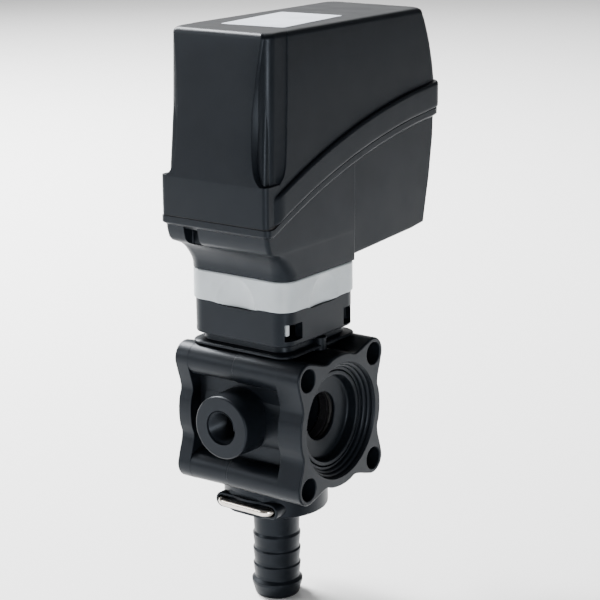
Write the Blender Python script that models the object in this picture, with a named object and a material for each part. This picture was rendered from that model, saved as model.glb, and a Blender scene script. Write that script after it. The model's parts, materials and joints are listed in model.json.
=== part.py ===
"""Motor-driven diverter valve: a three-way ball valve with flanged manifold ends, a forked hose
tail, a gauge port and an electric actuator head.

Frame: metres, +Z up.  X is the manifold's flow axis and Z is the valve stem's axis; they cross
at the origin.  -Y is the side with the gauge port, and the actuator head reaches out to +Y.
"""

import math

import bmesh
import bpy
from mathutils import Matrix, Vector

# ---------------------------------------------------------------- driving dimensions (metres)
GAP = 0.0003                    # clearance between pieces that touch

FACE_RIGHT = 0.03257            # socketed manifold face, +X
FACE_LEFT = -0.0280             # plain manifold face, -X
POCKET = 0.0215                 # inner side of both flanges
BOLT = 0.022                    # tie bolts stand at (+-BOLT, +-BOLT) in Y and Z
BOLT_HOLE = 0.0045              # M8 clearance
EAR = 0.0064                    # radius round each tie bolt
FLANGE_R = 0.027
BARREL_R = 0.0232
CORE = 0.0210                   # half width of the block round the ball chamber
CHAMBER_R = 0.0195
SOCKET_R = 0.0228               # counterbore in the right face
SOCKET_DEPTH = 0.0051
GAUGE_Z = 0.0004
GAUGE_R = 0.0126
GAUGE_FACE = -0.03495
GAUGE_BORE = 0.0059             # core of the G1/4 thread
COLLAR_R = 0.0210
COLLAR_BOTTOM = -0.0405
SPIGOT_R = 0.0140
EAR_TOP = BOLT + EAR
TOP_BORE = 0.0080

BALL_R = 0.0175
PORT_R = 0.0085
SEAT_IN, SEAT_OUT = 0.0095, 0.0124
SEAT_FRONT, SEAT_BACK = 0.0129, 0.0185
SEAT_SEAL_R = 0.01095
SHELF_HOLE = 0.0096
SEAL_PLACE = 0.0197             # distance of the seats' O-rings from the ball's centre
SHELF = 0.0209                  # face behind each seat's O-ring
RETAINER_END = 0.0275

WIRE_R = 0.0015                 # fork clip
WIRE_Z = -0.0365
LEG_X = 0.0123
BAR_Y = -0.0216

TAIL_BORE = 0.0075
TAIL_END = -0.0800

PLATE_LOW, PLATE_TOP = EAR_TOP + GAP, 0.0305
BASE_LOW, BASE_TOP = 0.0330, 0.0460
RING_LOW, RING_TOP = 0.0463, 0.0588
NECK_LOW = 0.0591
NECK_HALF = 0.0243
NECK_CORNER = 0.0070

SHAFT_R = 0.0040
REDUCER_Y = 0.0270
MOTOR_Y = 0.0502
DECK_LOW, DECK_TOP = 0.0970, 0.0990
LARGE_GEAR_Z = (0.1010, 0.1050)
OUTPUT_GEAR_Z = (0.1063, 0.1107)
CAM_Z = (0.1120, 0.1160)
BOARD_Z = (0.1250, 0.1266)

WALL = 0.0022
COVER_TOP = 0.1534
SEAM_LEVEL = 0.0820             # the head's seam at the front
SEAM_POINTS = ((-0.0294, 0.0838), (0.0283, 0.1040), (0.0747, 0.1118))
SEAM_REBATE = 0.0016            # room for the gasket under the seam
SKIRT_HEIGHT = 0.0106
SKIRT_HALF = 0.0265
HEAD_FRONT, HEAD_BACK = -0.0370, 0.0822
BELLY_HALF = 0.0247
BELLY_FRONT = -0.0360
BELLY_FLOOR = 0.0616            # belly's underside behind the neck
BELLY_RISE = 0.031              # slope of that underside
BELLY_BACK = ((0.0500, 0.0712), (0.0700, 0.0753), (0.0840, 0.0784),
              (0.1000, 0.0808), (0.1300, 0.0822))           # (z, y) up the back wall
HEAD_CORNER = 0.0060
LEDGE = 0.0976                  # foot of the recesses in the cover's front corners
RECESS_SIDE, RECESS_BACK = 0.0183, -0.0228                  # inner edges of those recesses
COLUMN_HALF, COLUMN_FRONT, COLUMN_CORNER = 0.0236, -0.0331, 0.0045
COVER_ROWS = (                  # z, half width, front, back
    (0.0780, 0.0252, -0.0370, 0.0810), (0.0970, 0.0252, -0.0370, 0.0810),
    (0.1220, 0.0245, -0.0349, 0.0809), (0.1300, 0.0243, -0.0343, 0.0797),
    (0.1370, 0.0242, -0.0337, 0.0781), (0.1430, 0.0240, -0.0332, 0.0762),
    (0.1480, 0.0239, -0.0328, 0.0742), (0.1510, 0.0238, -0.0325, 0.0726),
    (0.1527, 0.0232, -0.0319, 0.0713), (COVER_TOP, 0.0215, -0.0300, 0.0692))
COVER_CORNER = 0.0045
COVER_SCREW = (0.0192, -0.0300)
SCREW_SEAT = 0.0758
LABEL_CENTRE, LABEL_HALF = (0.0012, 0.0061), (0.0139, 0.0218)
LABEL_TURN = math.radians(5.0)  # the label is stuck on slightly askew

DECK_SCREWS = ((-0.0170, 0.0080), (0.0170, 0.0080), (-0.0170, 0.0620), (0.0170, 0.0620))
BOARD_POSTS = ((-0.0180, -0.0165), (0.0180, -0.0165), (-0.0180, 0.0660), (0.0180, 0.0660))
INLET_Z = 0.0860

ROUND, MEDIUM, SMALL = 28, 16, 10  # facets round large, middling and small pieces

# ---------------------------------------------------------------- finishes
FINISHES = {
    "black_plastic": ((0.022, 0.025, 0.030), 0.55, 0.0),
    "grey_plastic": ((0.42, 0.44, 0.46), 0.50, 0.0),
    "white_plastic": ((0.80, 0.80, 0.76), 0.40, 0.0),
    "seat_plastic": ((0.020, 0.020, 0.022), 0.40, 0.0),
    "rubber": ((0.012, 0.012, 0.013), 0.70, 0.0),
    "stainless": ((0.62, 0.60, 0.57), 0.30, 1.0),
    "steel": ((0.50, 0.51, 0.52), 0.35, 1.0),
    "bronze": ((0.55, 0.38, 0.20), 0.40, 1.0),
    "board": ((0.02, 0.16, 0.07), 0.45, 0.0),
    "label": ((0.66, 0.70, 0.80), 0.45, 0.0),
}


def finish(name):
    """The material of that name, made once."""
    material = bpy.data.materials.get(name)
    if material is None:
        colour, roughness, metallic = FINISHES[name]
        material = bpy.data.materials.new(name)
        material.use_nodes = True
        shader = material.node_tree.nodes["Principled BSDF"]
        shader.inputs["Base Color"].default_value = (*colour, 1.0)
        shader.inputs["Roughness"].default_value = roughness
        shader.inputs["Metallic"].default_value = metallic
    return material


# ---------------------------------------------------------------- modelling tools
def place(name, bm, finish_name="black_plastic", origin=(0.0, 0.0, 0.0)):
    """Turn a bmesh in world coordinates into an object whose origin is at origin."""
    bmesh.ops.recalc_face_normals(bm, faces=bm.faces)
    bmesh.ops.translate(bm, verts=bm.verts, vec=-Vector(origin))
    mesh = bpy.data.meshes.new(name)
    bm.to_mesh(mesh)
    bm.free()
    mesh.shade_smooth()
    mesh.set_sharp_from_angle(angle=math.radians(32))
    mesh.materials.append(finish(finish_name))
    piece = bpy.data.objects.new(name, mesh)
    piece.location = origin
    bpy.context.scene.collection.objects.link(piece)
    return piece


def combine(piece, tool, operation):
    """Join, cut or intersect a piece with a tool, which is used up."""
    modifier = piece.modifiers.new("combine", "BOOLEAN")
    modifier.operation = operation
    modifier.solver = "EXACT"
    modifier.object = tool
    bpy.context.view_layer.update()
    graph = bpy.context.evaluated_depsgraph_get()
    result = bpy.data.meshes.new_from_object(piece.evaluated_get(graph))
    piece.modifiers.clear()
    piece.data = result
    result.name = piece.name
    result.set_sharp_from_angle(angle=math.radians(32))
    bpy.data.objects.remove(tool)
    return piece


def join(piece, *tools):
    for tool in tools:
        combine(piece, tool, "UNION")
    return piece


def cut(piece, *tools):
    for tool in tools:
        combine(piece, tool, "DIFFERENCE")
    return piece


def keep_inside(piece, tool):
    return combine(piece, tool, "INTERSECT")


def skin(bm, rings, closed):
    """Faces between rings of vertices; a closed run of rings joins its last to its first."""
    pairs = list(zip(rings, rings[1:]))
    if closed:
        pairs.append((rings[-1], rings[0]))
    for low, high in pairs:
        count = max(len(low), len(high))
        for i in range(count):
            j = (i + 1) % count
            corners = [low[i % len(low)], low[j % len(low)], high[j % len(high)], high[i % len(high)]]
            corners = [v for k, v in enumerate(corners) if v not in corners[:k]]
            bm.faces.new(corners)


AXES = {
    "Z": Matrix.Identity(4),
    "X": Matrix(((0, 0, 1, 0), (1, 0, 0, 0), (0, 1, 0, 0), (0, 0, 0, 1))),
    "Y": Matrix(((1, 0, 0, 0), (0, 0, 1, 0), (0, 1, 0, 0), (0, 0, 0, 1))),
}


def turned(profile, axis="Z", centre=(0.0, 0.0, 0.0), steps=ROUND):
    """Revolve (radius, height) points.  A profile that starts on the axis also ends there."""
    bm = bmesh.new()
    rings = []
    for radius, height in profile:
        count = 1 if radius == 0 else steps
        ring = []
        for i in range(count):
            angle = 2 * math.pi * (i + 0.5) / steps
            ring.append(bm.verts.new((radius * math.cos(angle), radius * math.sin(angle), height)))
        rings.append(ring)
    skin(bm, rings, closed=profile[0][0] > 0)
    bmesh.ops.transform(bm, matrix=Matrix.Translation(centre) @ AXES[axis], verts=bm.verts)
    return bm


def rod(radius, low, high, axis="Z", centre=(0.0, 0.0, 0.0), steps=SMALL):
    return turned(((0, low), (radius, low), (radius, high), (0, high)), axis, centre, steps)


def sleeve(inner, outer, low, high, axis="Z", centre=(0.0, 0.0, 0.0), steps=ROUND):
    return turned(((inner, low), (outer, low), (outer, high), (inner, high)), axis, centre, steps)


def o_ring(major, minor, height, axis="Z", steps=MEDIUM, sides=6):
    turns = [2 * math.pi * i / sides for i in range(sides)]
    profile = [(major + minor * math.cos(a), height + minor * math.sin(a)) for a in turns]
    return turned(profile, axis, steps=steps)


def loft(rings):
    """A closed solid through rings of (x, y, z) points."""
    bm = bmesh.new()
    rows = [[bm.verts.new(point) for point in ring] for ring in rings]
    skin(bm, rows, closed=False)
    bm.faces.new(rows[0])
    bm.faces.new(rows[-1])
    return bm


def prism(outline, low, high, axis="Z"):
    """Extrude an outline; about X its points are (y, z), and about Y they are (x, z)."""
    if axis == "X":
        return loft([[(level, a, b) for a, b in outline] for level in (low, high)])
    if axis == "Y":
        return loft([[(a, level, b) for a, b in outline] for level in (low, high)])
    return loft([[(a, b, level) for a, b in outline] for level in (low, high)])


def block(low, high):
    (x0, y0, z0), (x1, y1, z1) = low, high
    return prism(((x0, y0), (x1, y0), (x1, y1), (x0, y1)), z0, z1)


def arc(centre, radius, start, end, count):
    """Points along an arc, angles in degrees."""
    turns = [math.radians(start + (end - start) * i / count) for i in range(count + 1)]
    return [(centre[0] + radius * math.cos(a), centre[1] + radius * math.sin(a)) for a in turns]


def rounded(x0, y0, x1, y1, corner, count=4):
    """Outline of a rectangle with rounded corners."""
    r = corner
    return (arc((x1 - r, y1 - r), r, 0, 90, count) + arc((x0 + r, y1 - r), r, 90, 180, count)
            + arc((x0 + r, y0 + r), r, 180, 270, count) + arc((x1 - r, y0 + r), r, 270, 360, count))


def square(half, corner, count=4):
    return rounded(-half, -half, half, half, corner, count)


def tool(bm):
    """An object that combine uses up."""
    return place("tool", bm)


# ---------------------------------------------------------------- valve body
def flange_outline():
    """A disc with an ear round each tie bolt and a shallow waist between disc and ear."""
    points = []
    for quarter in range(4):
        turn = Matrix.Rotation(quarter * math.pi / 2, 2)
        shape = arc((0, 0), FLANGE_R, -12, 19, 3) + arc((BOLT, BOLT), EAR, -14, 104, 5)
        shape += arc((0, 0), FLANGE_R, 71, 72, 1)[:1]
        points += [tuple(turn @ Vector(p)) for p in shape[1:]]
    return points


def body_blank():
    outline = flange_outline()
    body = place("valve_body", prism(outline, POCKET, FACE_RIGHT, "X"))
    parts = [prism(outline, FACE_LEFT, -POCKET, "X")]
    parts.append(rod(BARREL_R, -POCKET - 0.001, POCKET + 0.001, "X", steps=ROUND))
    core = rounded(-CORE, -CORE, CORE, CORE, 0.002, 1)
    parts.append(prism(core, -POCKET - 0.0015, POCKET + 0.0015, "X"))
    for y in (-BOLT, BOLT):
        for z in (-BOLT, BOLT):
            web = rounded(min(y, y * 0.7), min(z, z * 0.7), max(y, y * 0.7), max(z, z * 0.7), 0.001, 1)
            parts.append(prism(web, -POCKET - 0.002, POCKET + 0.002, "X"))
            parts.append(rod(EAR - 0.0003, FACE_LEFT + 0.001, FACE_RIGHT - 0.001, "X", (0, y, z)))
    parts.append(rod(COLLAR_R, COLLAR_BOTTOM, -0.018, steps=ROUND))
    parts.append(rod(GAUGE_R, GAUGE_FACE, -CORE + 0.002, "Y", (0, 0, GAUGE_Z), MEDIUM))
    for x in (-0.015, 0.015):
        for y in (-0.015, 0.015):
            parts.append(rod(0.0042, CORE - 0.002, EAR_TOP, centre=(x, y, 0)))
    parts.append(rod(0.0115, CORE - 0.002, EAR_TOP, steps=ROUND))
    return join(body, *[tool(part) for part in parts])


def valve_body():
    body = body_blank()
    step = SOCKET_DEPTH / 3
    bore = [(0, FACE_LEFT - 0.001), (CHAMBER_R, FACE_LEFT - 0.001)]
    bore += [(CHAMBER_R, FACE_RIGHT - SOCKET_DEPTH)]
    for i, radius in enumerate((0.0206, 0.0217, SOCKET_R)):
        low = FACE_RIGHT - SOCKET_DEPTH + i * step
        bore += [(radius, low), (radius, low + step if i < 2 else FACE_RIGHT + 0.001)]
    bore.append((0, FACE_RIGHT + 0.001))
    cutters = [turned(bore, "X")]
    cutters.append(rod(TOP_BORE, 0, EAR_TOP + 0.001, steps=ROUND))
    socket = [(0, 0), (SEAT_OUT + GAP, 0), (SEAT_OUT + GAP, -SHELF), (SHELF_HOLE, -SHELF)]
    socket += [(SHELF_HOLE, -SHELF - 0.0015), (SPIGOT_R + GAP, -SHELF - 0.0015)]
    socket += [(SPIGOT_R + GAP, COLLAR_BOTTOM - 0.001), (0, COLLAR_BOTTOM - 0.001)]
    cutters.append(turned(socket))
    for y in (-BOLT, BOLT):
        for z in (-BOLT, BOLT):
            cutters.append(rod(BOLT_HOLE, FACE_LEFT - 0.001, FACE_RIGHT + 0.001, "X", (0, y, z)))
    port = [(0, GAUGE_FACE - 0.001), (0.0069, GAUGE_FACE - 0.001), (0.0069, GAUGE_FACE)]
    port += [(GAUGE_BORE, GAUGE_FACE + 0.0010), (GAUGE_BORE, -0.0238), (0.0035, -0.0232)]
    port += [(0.0035, 0), (0, 0)]
    cutters.append(turned(port, "Y", (0, 0, GAUGE_Z), MEDIUM))
    for x in (-LEG_X, LEG_X):
        cutters.append(rod(WIRE_R + GAP, -0.030, 0.030, "Y", (x, 0, WIRE_Z), 12))
    cutters.append(block((-0.0165, -0.025, COLLAR_BOTTOM - 0.001), (0.0165, -0.0198, -0.0320)))
    for x in (-0.015, 0.015):
        for y in (-0.015, 0.015):
            cutters.append(rod(0.0018, 0.0205, EAR_TOP + 0.001, centre=(x, y, 0), steps=SMALL))
    return cut(body, *[tool(cutter) for cutter in cutters])


def valve_ball():
    ball_profile = [(0, -BALL_R)]
    for i in range(1, 10):
        angle = math.pi * i / 10 - math.pi / 2
        ball_profile.append((BALL_R * math.cos(angle), BALL_R * math.sin(angle)))
    ball_profile.append((0, BALL_R))
    ball = place("ball", turned(ball_profile, steps=20))
    cut(ball, tool(rod(PORT_R, 0, BALL_R + 0.001, "X", steps=MEDIUM)))
    cut(ball, tool(rod(PORT_R, -BALL_R - 0.001, 0.004, steps=MEDIUM)))
    cut(ball, tool(block((-0.0025, -0.0200, 0.0137), (0.0025, 0.0200, 0.0200))))
    return ball


def seats():
    ring = [(SEAT_IN, 0.0152), (SEAT_OUT, SEAT_FRONT)]
    ring += [(SEAT_OUT, SEAT_BACK), (SEAT_IN, SEAT_BACK)]
    flipped = [(radius, -place_x) for radius, place_x in ring]
    place("seat_ring_right", turned(ring, "X"), "seat_plastic")
    place("seat_ring_left", turned(flipped, "X"), "seat_plastic")
    place("seat_ring_bottom", turned(flipped), "seat_plastic")
    place("seat_o_ring_right", o_ring(SEAT_SEAL_R, 0.0009, SEAL_PLACE, "X"), "rubber")
    place("seat_o_ring_left", o_ring(SEAT_SEAL_R, 0.0009, -SEAL_PLACE, "X"), "rubber")
    place("seat_o_ring_bottom", o_ring(SEAT_SEAL_R, 0.0009, -SEAL_PLACE), "rubber")


def retainers():
    outer = CHAMBER_R - GAP
    profile = [(SHELF_HOLE, SHELF), (SEAT_OUT + GAP, SHELF), (SEAT_OUT + GAP, 0.0160), (outer, 0.0160)]
    profile += [(outer, RETAINER_END), (0.0170, RETAINER_END), (0.0170, SHELF + 0.0015)]
    profile += [(SHELF_HOLE, SHELF + 0.0015)]
    for name, side in (("seat_retainer_right", 1), ("seat_retainer_left", -1)):
        place(name, turned([(radius, side * x) for radius, x in profile], "X"))


def stem_parts():
    stem = [(0, 0.0193), (0.0050, 0.0193), (0.0050, 0.0203), (0.0074, 0.0203), (0.0074, 0.0222)]
    stem += [(0.0050, 0.0222)]
    for groove in (0.0245, 0.0275):
        stem += [(0.0050, groove), (0.00385, groove), (0.00385, groove + 0.0015), (0.0050, groove + 0.0015)]
    stem += [(0.0050, 0.0315), (0, 0.0315)]
    piece = place("stem", turned(stem, steps=16), "stainless")
    join(piece, tool(block((-0.0022, -0.0060, 0.0140), (0.0022, 0.0060, 0.0200))))
    join(piece, tool(prism(square(0.0033, 0.0006, 1), 0.0310, 0.0400)))
    place("stem_o_ring_lower", o_ring(0.0046, 0.00045, 0.02525, sides=5), "rubber")
    place("stem_o_ring_upper", o_ring(0.0046, 0.00045, 0.02825, sides=5), "rubber")
    place("thrust_washer", sleeve(0.0053, 0.0074, 0.0225, 0.0233, steps=MEDIUM), "seat_plastic")


def bonnet():
    plate = place("bonnet_plate", prism(square(0.0226, 0.0060), PLATE_LOW, PLATE_TOP))
    join(plate, tool(rod(TOP_BORE - GAP, 0.0236, PLATE_TOP - 0.0005, steps=MEDIUM)))
    for x in (-0.0220, 0.0220):
        join(plate, tool(rod(0.0022, FLANGE_R + GAP, BASE_LOW - GAP, centre=(x, 0, 0), steps=SMALL)))
    cut(plate, tool(rod(0.0053, 0.0200, 0.0320, steps=MEDIUM)))
    for i, (x, y) in enumerate(((-1, -1), (1, -1), (1, 1), (-1, 1)), start=1):
        centre = (0.015 * x, 0.015 * y, 0)
        cut(plate, tool(rod(0.0018, 0.0200, 0.0320, centre=centre, steps=SMALL)))
        head = [(0, 0.0212), (0.0015, 0.0212), (0.0015, PLATE_TOP + GAP), (0.0029, PLATE_TOP + GAP)]
        head += [(0.0029, 0.0326), (0, 0.0326)]
        place(f"bonnet_screw_{i}", turned(head, centre=centre, steps=SMALL), "stainless")


# ---------------------------------------------------------------- hose tail and fork clip
def hose_tail():
    outside = [(SPIGOT_R - 0.0012, -0.0230), (SPIGOT_R, -0.0242), (SPIGOT_R, -0.0268)]
    outside += [(0.0120, -0.0268), (0.0120, -0.0293), (SPIGOT_R, -0.0293), (SPIGOT_R, -0.0345)]
    outside += [(0.0104, -0.0345), (0.0104, -0.0385), (SPIGOT_R, -0.0385), (SPIGOT_R, -0.0403)]
    outside += [(0.0095, -0.0409), (0.0092, -0.0526)]
    for top, crest, bottom in ((-0.0537, 0.00977, -0.0583), (-0.0603, 0.00976, -0.0649),
                               (-0.0669, 0.00972, -0.0711), (-0.0737, 0.0104, -0.0788)):
        outside += [(0.0092, top + 0.0008), (crest, top), (0.0092, bottom)]
    outside += [(0.0086, TAIL_END)]
    inside = [(TAIL_BORE, TAIL_END), (TAIL_BORE, -0.0300), (0.0095, -0.0250), (0.0105, -0.0230)]
    place("hose_tail", turned(outside + inside, steps=24))
    place("hose_tail_o_ring", o_ring(0.0131, 0.0008, -0.02805), "rubber")


def fork_clip():
    """A wire staple: a bar across the front and two legs that reach back through the collar."""
    bend = 0.0030
    path = [(-LEG_X, 0.0205), (-LEG_X, BAR_Y + bend)]
    path += arc((-LEG_X + bend, BAR_Y + bend), bend, 180, 270, 4)[1:]
    path += arc((LEG_X - bend, BAR_Y + bend), bend, 270, 360, 4)
    path += [(LEG_X, 0.0205)]
    curve = bpy.data.curves.new("fork_clip", "CURVE")
    curve.dimensions = "3D"
    curve.bevel_depth = WIRE_R
    curve.bevel_resolution = 3
    curve.use_fill_caps = True
    wire = curve.splines.new("POLY")
    wire.points.add(len(path) - 1)
    for point, (x, y) in zip(wire.points, path):
        point.co = (x, y - BAR_Y, 0.0, 1.0)
    curve.materials.append(finish("stainless"))
    clip = bpy.data.objects.new("fork_clip", curve)
    clip.location = (0.0, BAR_Y, WIRE_Z)
    bpy.context.scene.collection.objects.link(clip)


# ---------------------------------------------------------------- neck
def mounting_base():
    base = place("mounting_base", prism(square(0.0236, 0.0065), BASE_LOW, BASE_TOP))
    cut(base, tool(prism(square(0.0202, 0.0060), BASE_LOW + 0.0025, BASE_TOP + 0.001)))
    cut(base, tool(rod(0.0072, BASE_LOW - 0.001, BASE_LOW + 0.004, steps=MEDIUM)))
    for side in (-1, 1):
        for y in (-0.0173, 0.0173):
            x = sorted((side * 0.0190, side * 0.0240))
            cut(base, tool(block((x[0], y - 0.0030, 0.0355), (x[1], y + 0.0030, BASE_TOP + 0.001))))


def lock_ring():
    ring = place("lock_ring", prism(square(NECK_HALF, NECK_CORNER), RING_LOW, RING_TOP), "grey_plastic")
    cut(ring, tool(prism(square(0.0206, 0.0060), RING_LOW - 0.001, RING_TOP + 0.001)))
    for side in (-1, 1):
        for y in (-0.0173, 0.0173):
            x = sorted((side * 0.0207, side * 0.0224))
            join(ring, tool(block((x[0], y - 0.0024, 0.0372), (x[1], y + 0.0024, RING_LOW + 0.003))))


def drive_shaft():
    shaft = [(0, 0.0412), (0.0064, 0.0412), (0.0064, 0.0420), (SHAFT_R, 0.0430)]
    shaft += [(SHAFT_R, 0.1180), (0, 0.1180)]
    piece = place("drive_shaft", turned(shaft, steps=MEDIUM), "stainless")
    join(piece, tool(rod(0.0064, 0.0320, 0.0414, steps=MEDIUM)))
    cut(piece, tool(prism(square(0.0037, 0.0006, 1), 0.0310, 0.0404)))
    place("shaft_seal", sleeve(SHAFT_R + GAP, 0.0065, 0.0570, 0.0597, steps=MEDIUM), "rubber")
    place("shaft_bush_lower", sleeve(SHAFT_R + GAP, 0.0065, 0.0600, 0.0650, steps=MEDIUM), "bronze")
    place("shaft_bush_upper", sleeve(SHAFT_R + GAP, 0.0065, 0.0965, 0.1000, steps=MEDIUM), "bronze")


# ---------------------------------------------------------------- actuator head: shells
def seam(y):
    """Height of the head's seam: level at the front, then one long arc up to the back."""
    (y0, z0), (y1, z1), (y2, z2) = SEAM_POINTS
    a, b = (y0 - y1, z0 - z1), (y0 - y2, z0 - z2)
    e = (y0**2 - y1**2 + z0**2 - z1**2) / 2
    f = (y0**2 - y2**2 + z0**2 - z2**2) / 2
    det = a[0] * b[1] - a[1] * b[0]
    cy, cz = (e * b[1] - a[1] * f) / det, (a[0] * f - e * b[0]) / det
    radius = math.hypot(y0 - cy, z0 - cz)
    return max(SEAM_LEVEL, cz + math.sqrt(radius**2 - (y - cy) ** 2))


def seam_run(offset):
    """Points (y, z) along the seam, raised by offset, from front to back past the head."""
    steps = 10
    ys = [-0.0450] + [-0.0330 + 0.1230 * i / steps for i in range(steps + 1)]
    return [(y, seam(y) + offset) for y in ys]


def seam_band(low, high, half, front, back, corner):
    """A solid between two curves parallel to the seam, with an upright rounded outline."""
    outline = seam_run(high) + seam_run(low)[::-1]
    band = tool(prism(outline, -half - 0.002, half + 0.002, "X"))
    return keep_inside(band, tool(prism(rounded(-half, front, half, back, corner), 0.05, 0.16)))


def belly_profile(inset):
    """Side outline (y, z) of the lower housing's belly, pulled in by inset."""
    front, low = BELLY_FRONT + inset, BELLY_FLOOR + inset
    return [(front, 0.0830), (front, 0.0742), (front + 0.0015, 0.0724 + inset),
            (-0.0300, 0.0716 + inset), (-0.0245, 0.0690 + inset), (-0.0215, low),
            (0.0630, low + 0.0026), (0.0705 - inset, low + 0.0034), (0.0735 - inset, low + 0.0048),
            (0.0755 - inset, low + 0.0085), (0.0900, 0.0900), (0.0900, 0.1180), (-0.0200, 0.1180)]


def belly_walls(inset):
    """The belly's four upright walls; the back one leans outwards."""
    half, front, corner = BELLY_HALF - inset, BELLY_FRONT + inset, HEAD_CORNER - 0.001 - inset
    return loft([[(x, y, z) for x, y in rounded(-half, front, half, back - inset, corner)]
                 for z, back in BELLY_BACK])


def lower_housing():
    belly = place("lower_housing", prism(belly_profile(0.0), -BELLY_HALF, BELLY_HALF, "X"))
    keep_inside(belly, tool(belly_walls(0.0)))
    join(belly, tool(prism(square(NECK_HALF, NECK_CORNER), NECK_LOW, 0.0720)))
    join(belly, tool(prism(square(0.0203, 0.0060), 0.0468, 0.0640)))
    join(belly, seam_band(-0.0062, 0.0010, 0.0260, HEAD_FRONT, HEAD_BACK, HEAD_CORNER))
    head_room = prism(seam_run(-SEAM_REBATE) + [(0.090, 0.130), (-0.045, 0.130)],
                      -0.040, 0.040, "X")
    cut(belly, tool(head_room))
    hollow = prism(belly_profile(WALL), -BELLY_HALF + WALL, BELLY_HALF - WALL, "X")
    cut(belly, keep_inside(tool(hollow), tool(belly_walls(WALL))))
    cut(belly, tool(prism(square(0.0182, 0.0050), 0.0450, 0.0595)))
    join(belly, tool(rod(0.0090, 0.0566, 0.0650, steps=MEDIUM)))
    cut(belly, tool(rod(0.0068, 0.0440, 0.0700, steps=MEDIUM)))
    for x, y in DECK_SCREWS:
        floor = BELLY_FLOOR + 0.0010 + BELLY_RISE * y
        join(belly, tool(rod(0.0032, floor, DECK_LOW - GAP, centre=(x, y, 0), steps=SMALL)))
        cut(belly, tool(rod(0.0016, DECK_LOW - 0.010, DECK_LOW + 0.001, centre=(x, y, 0), steps=8)))
    for x in (-COVER_SCREW[0], COVER_SCREW[0]):
        centre = (x, COVER_SCREW[1], 0)
        join(belly, tool(rod(0.0042, 0.0722, SEAM_LEVEL - SEAM_REBATE - 0.0002, centre=centre)))
        cut(belly, tool(rod(0.0030, 0.0700, SCREW_SEAT, centre=centre)))
        cut(belly, tool(rod(0.0019, 0.0740, 0.0900, centre=centre, steps=8)))
    cut(belly, tool(rod(0.0078, 0.0600, 0.0850, "Y", (0, 0, INLET_Z), MEDIUM)))


def cover_blank(inset):
    """The cover's solid: drafted sides, a leaning front and a back that curls over at the top."""
    bottom = COVER_ROWS[0][0]
    rings = []
    for level, half, front, back in COVER_ROWS:
        z = level - inset * (level - bottom) / (COVER_TOP - bottom)
        outline = rounded(-half + inset, front + inset, half - inset, back - inset, COVER_CORNER - inset)
        rings.append([(x, y, z) for x, y in outline])
    return loft(rings)


def corner_recess(side):
    """Cutter for the recess in a front corner, which leaves a rounded column standing in it."""
    x = sorted((side * RECESS_SIDE, side * 0.0300))
    recess = tool(block((x[0], -0.0450, LEDGE), (x[1], RECESS_BACK, 0.1600)))
    column = rounded(-COLUMN_HALF, COLUMN_FRONT, COLUMN_HALF, 0.0300, COLUMN_CORNER)
    return cut(recess, tool(prism(column, LEDGE - 0.01, 0.1700)))


def label_outline(margin):
    """The label's outline on the cover's top, grown by margin."""
    turn = Matrix.Rotation(LABEL_TURN, 2)
    x, y = (half + margin for half in LABEL_HALF)
    return [tuple(turn @ Vector(p) + Vector(LABEL_CENTRE)) for p in rounded(-x, -y, x, y, 0.0012, 2)]


def cover():
    shell = place("cover", cover_blank(0.0))
    skirt = (SKIRT_HALF, HEAD_FRONT - 0.0005, HEAD_BACK - 0.0002, HEAD_CORNER)
    join(shell, seam_band(-0.004, SKIRT_HEIGHT, *skirt))
    below = prism(seam_run(0.0) + [(0.090, 0.050), (-0.045, 0.050)], -0.040, 0.040, "X")
    cut(shell, tool(below))
    hollow = tool(cover_blank(WALL))
    keep_inside(hollow, tool(block((-0.04, -0.0195, 0.05), (0.04, 0.10, 0.16))))
    cut(shell, hollow)
    front_room = tool(cover_blank(WALL))
    keep_inside(front_room, tool(block((-0.0120, -0.05, 0.05), (0.0120, -0.0190, 0.16))))
    cut(shell, front_room)
    for side in (-1, 1):
        cut(shell, corner_recess(side))
        centre = (side * COVER_SCREW[0], COVER_SCREW[1], 0)
        cut(shell, tool(rod(0.0019, 0.0700, 0.0945, centre=centre)))
    cut(shell, tool(prism(label_outline(GAP), COVER_TOP - 0.0010, COVER_TOP + 0.001)))
    place("label_plate", prism(label_outline(0.0), COVER_TOP - 0.0007, COVER_TOP - 0.0001), "label")


def gasket_and_screws():
    band = seam_band(-SEAM_REBATE + GAP, -GAP, 0.0256, HEAD_FRONT + 0.0006, HEAD_BACK - 0.0008, 0.0055)
    ring = place("housing_gasket", bmesh.new(), "rubber")
    ring.data = band.data
    bpy.data.objects.remove(band)
    ring.data.materials.clear()
    ring.data.materials.append(finish("rubber"))
    cut(ring, tool(prism(rounded(-0.0228, -0.0345, 0.0228, 0.0785, 0.004), 0.05, 0.16)))
    for name, side in (("cover_screw_left", -1), ("cover_screw_right", 1)):
        centre = (side * COVER_SCREW[0], COVER_SCREW[1], 0)
        cut(ring, tool(rod(0.0019, 0.0700, 0.0900, centre=centre)))
        screw = [(0, 0.0730), (0.0026, 0.0730), (0.0026, SCREW_SEAT - GAP), (0.0015, SCREW_SEAT - GAP)]
        screw += [(0.0015, 0.0935), (0, 0.0935)]
        place(name, turned(screw, centre=centre, steps=SMALL), "stainless")


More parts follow.
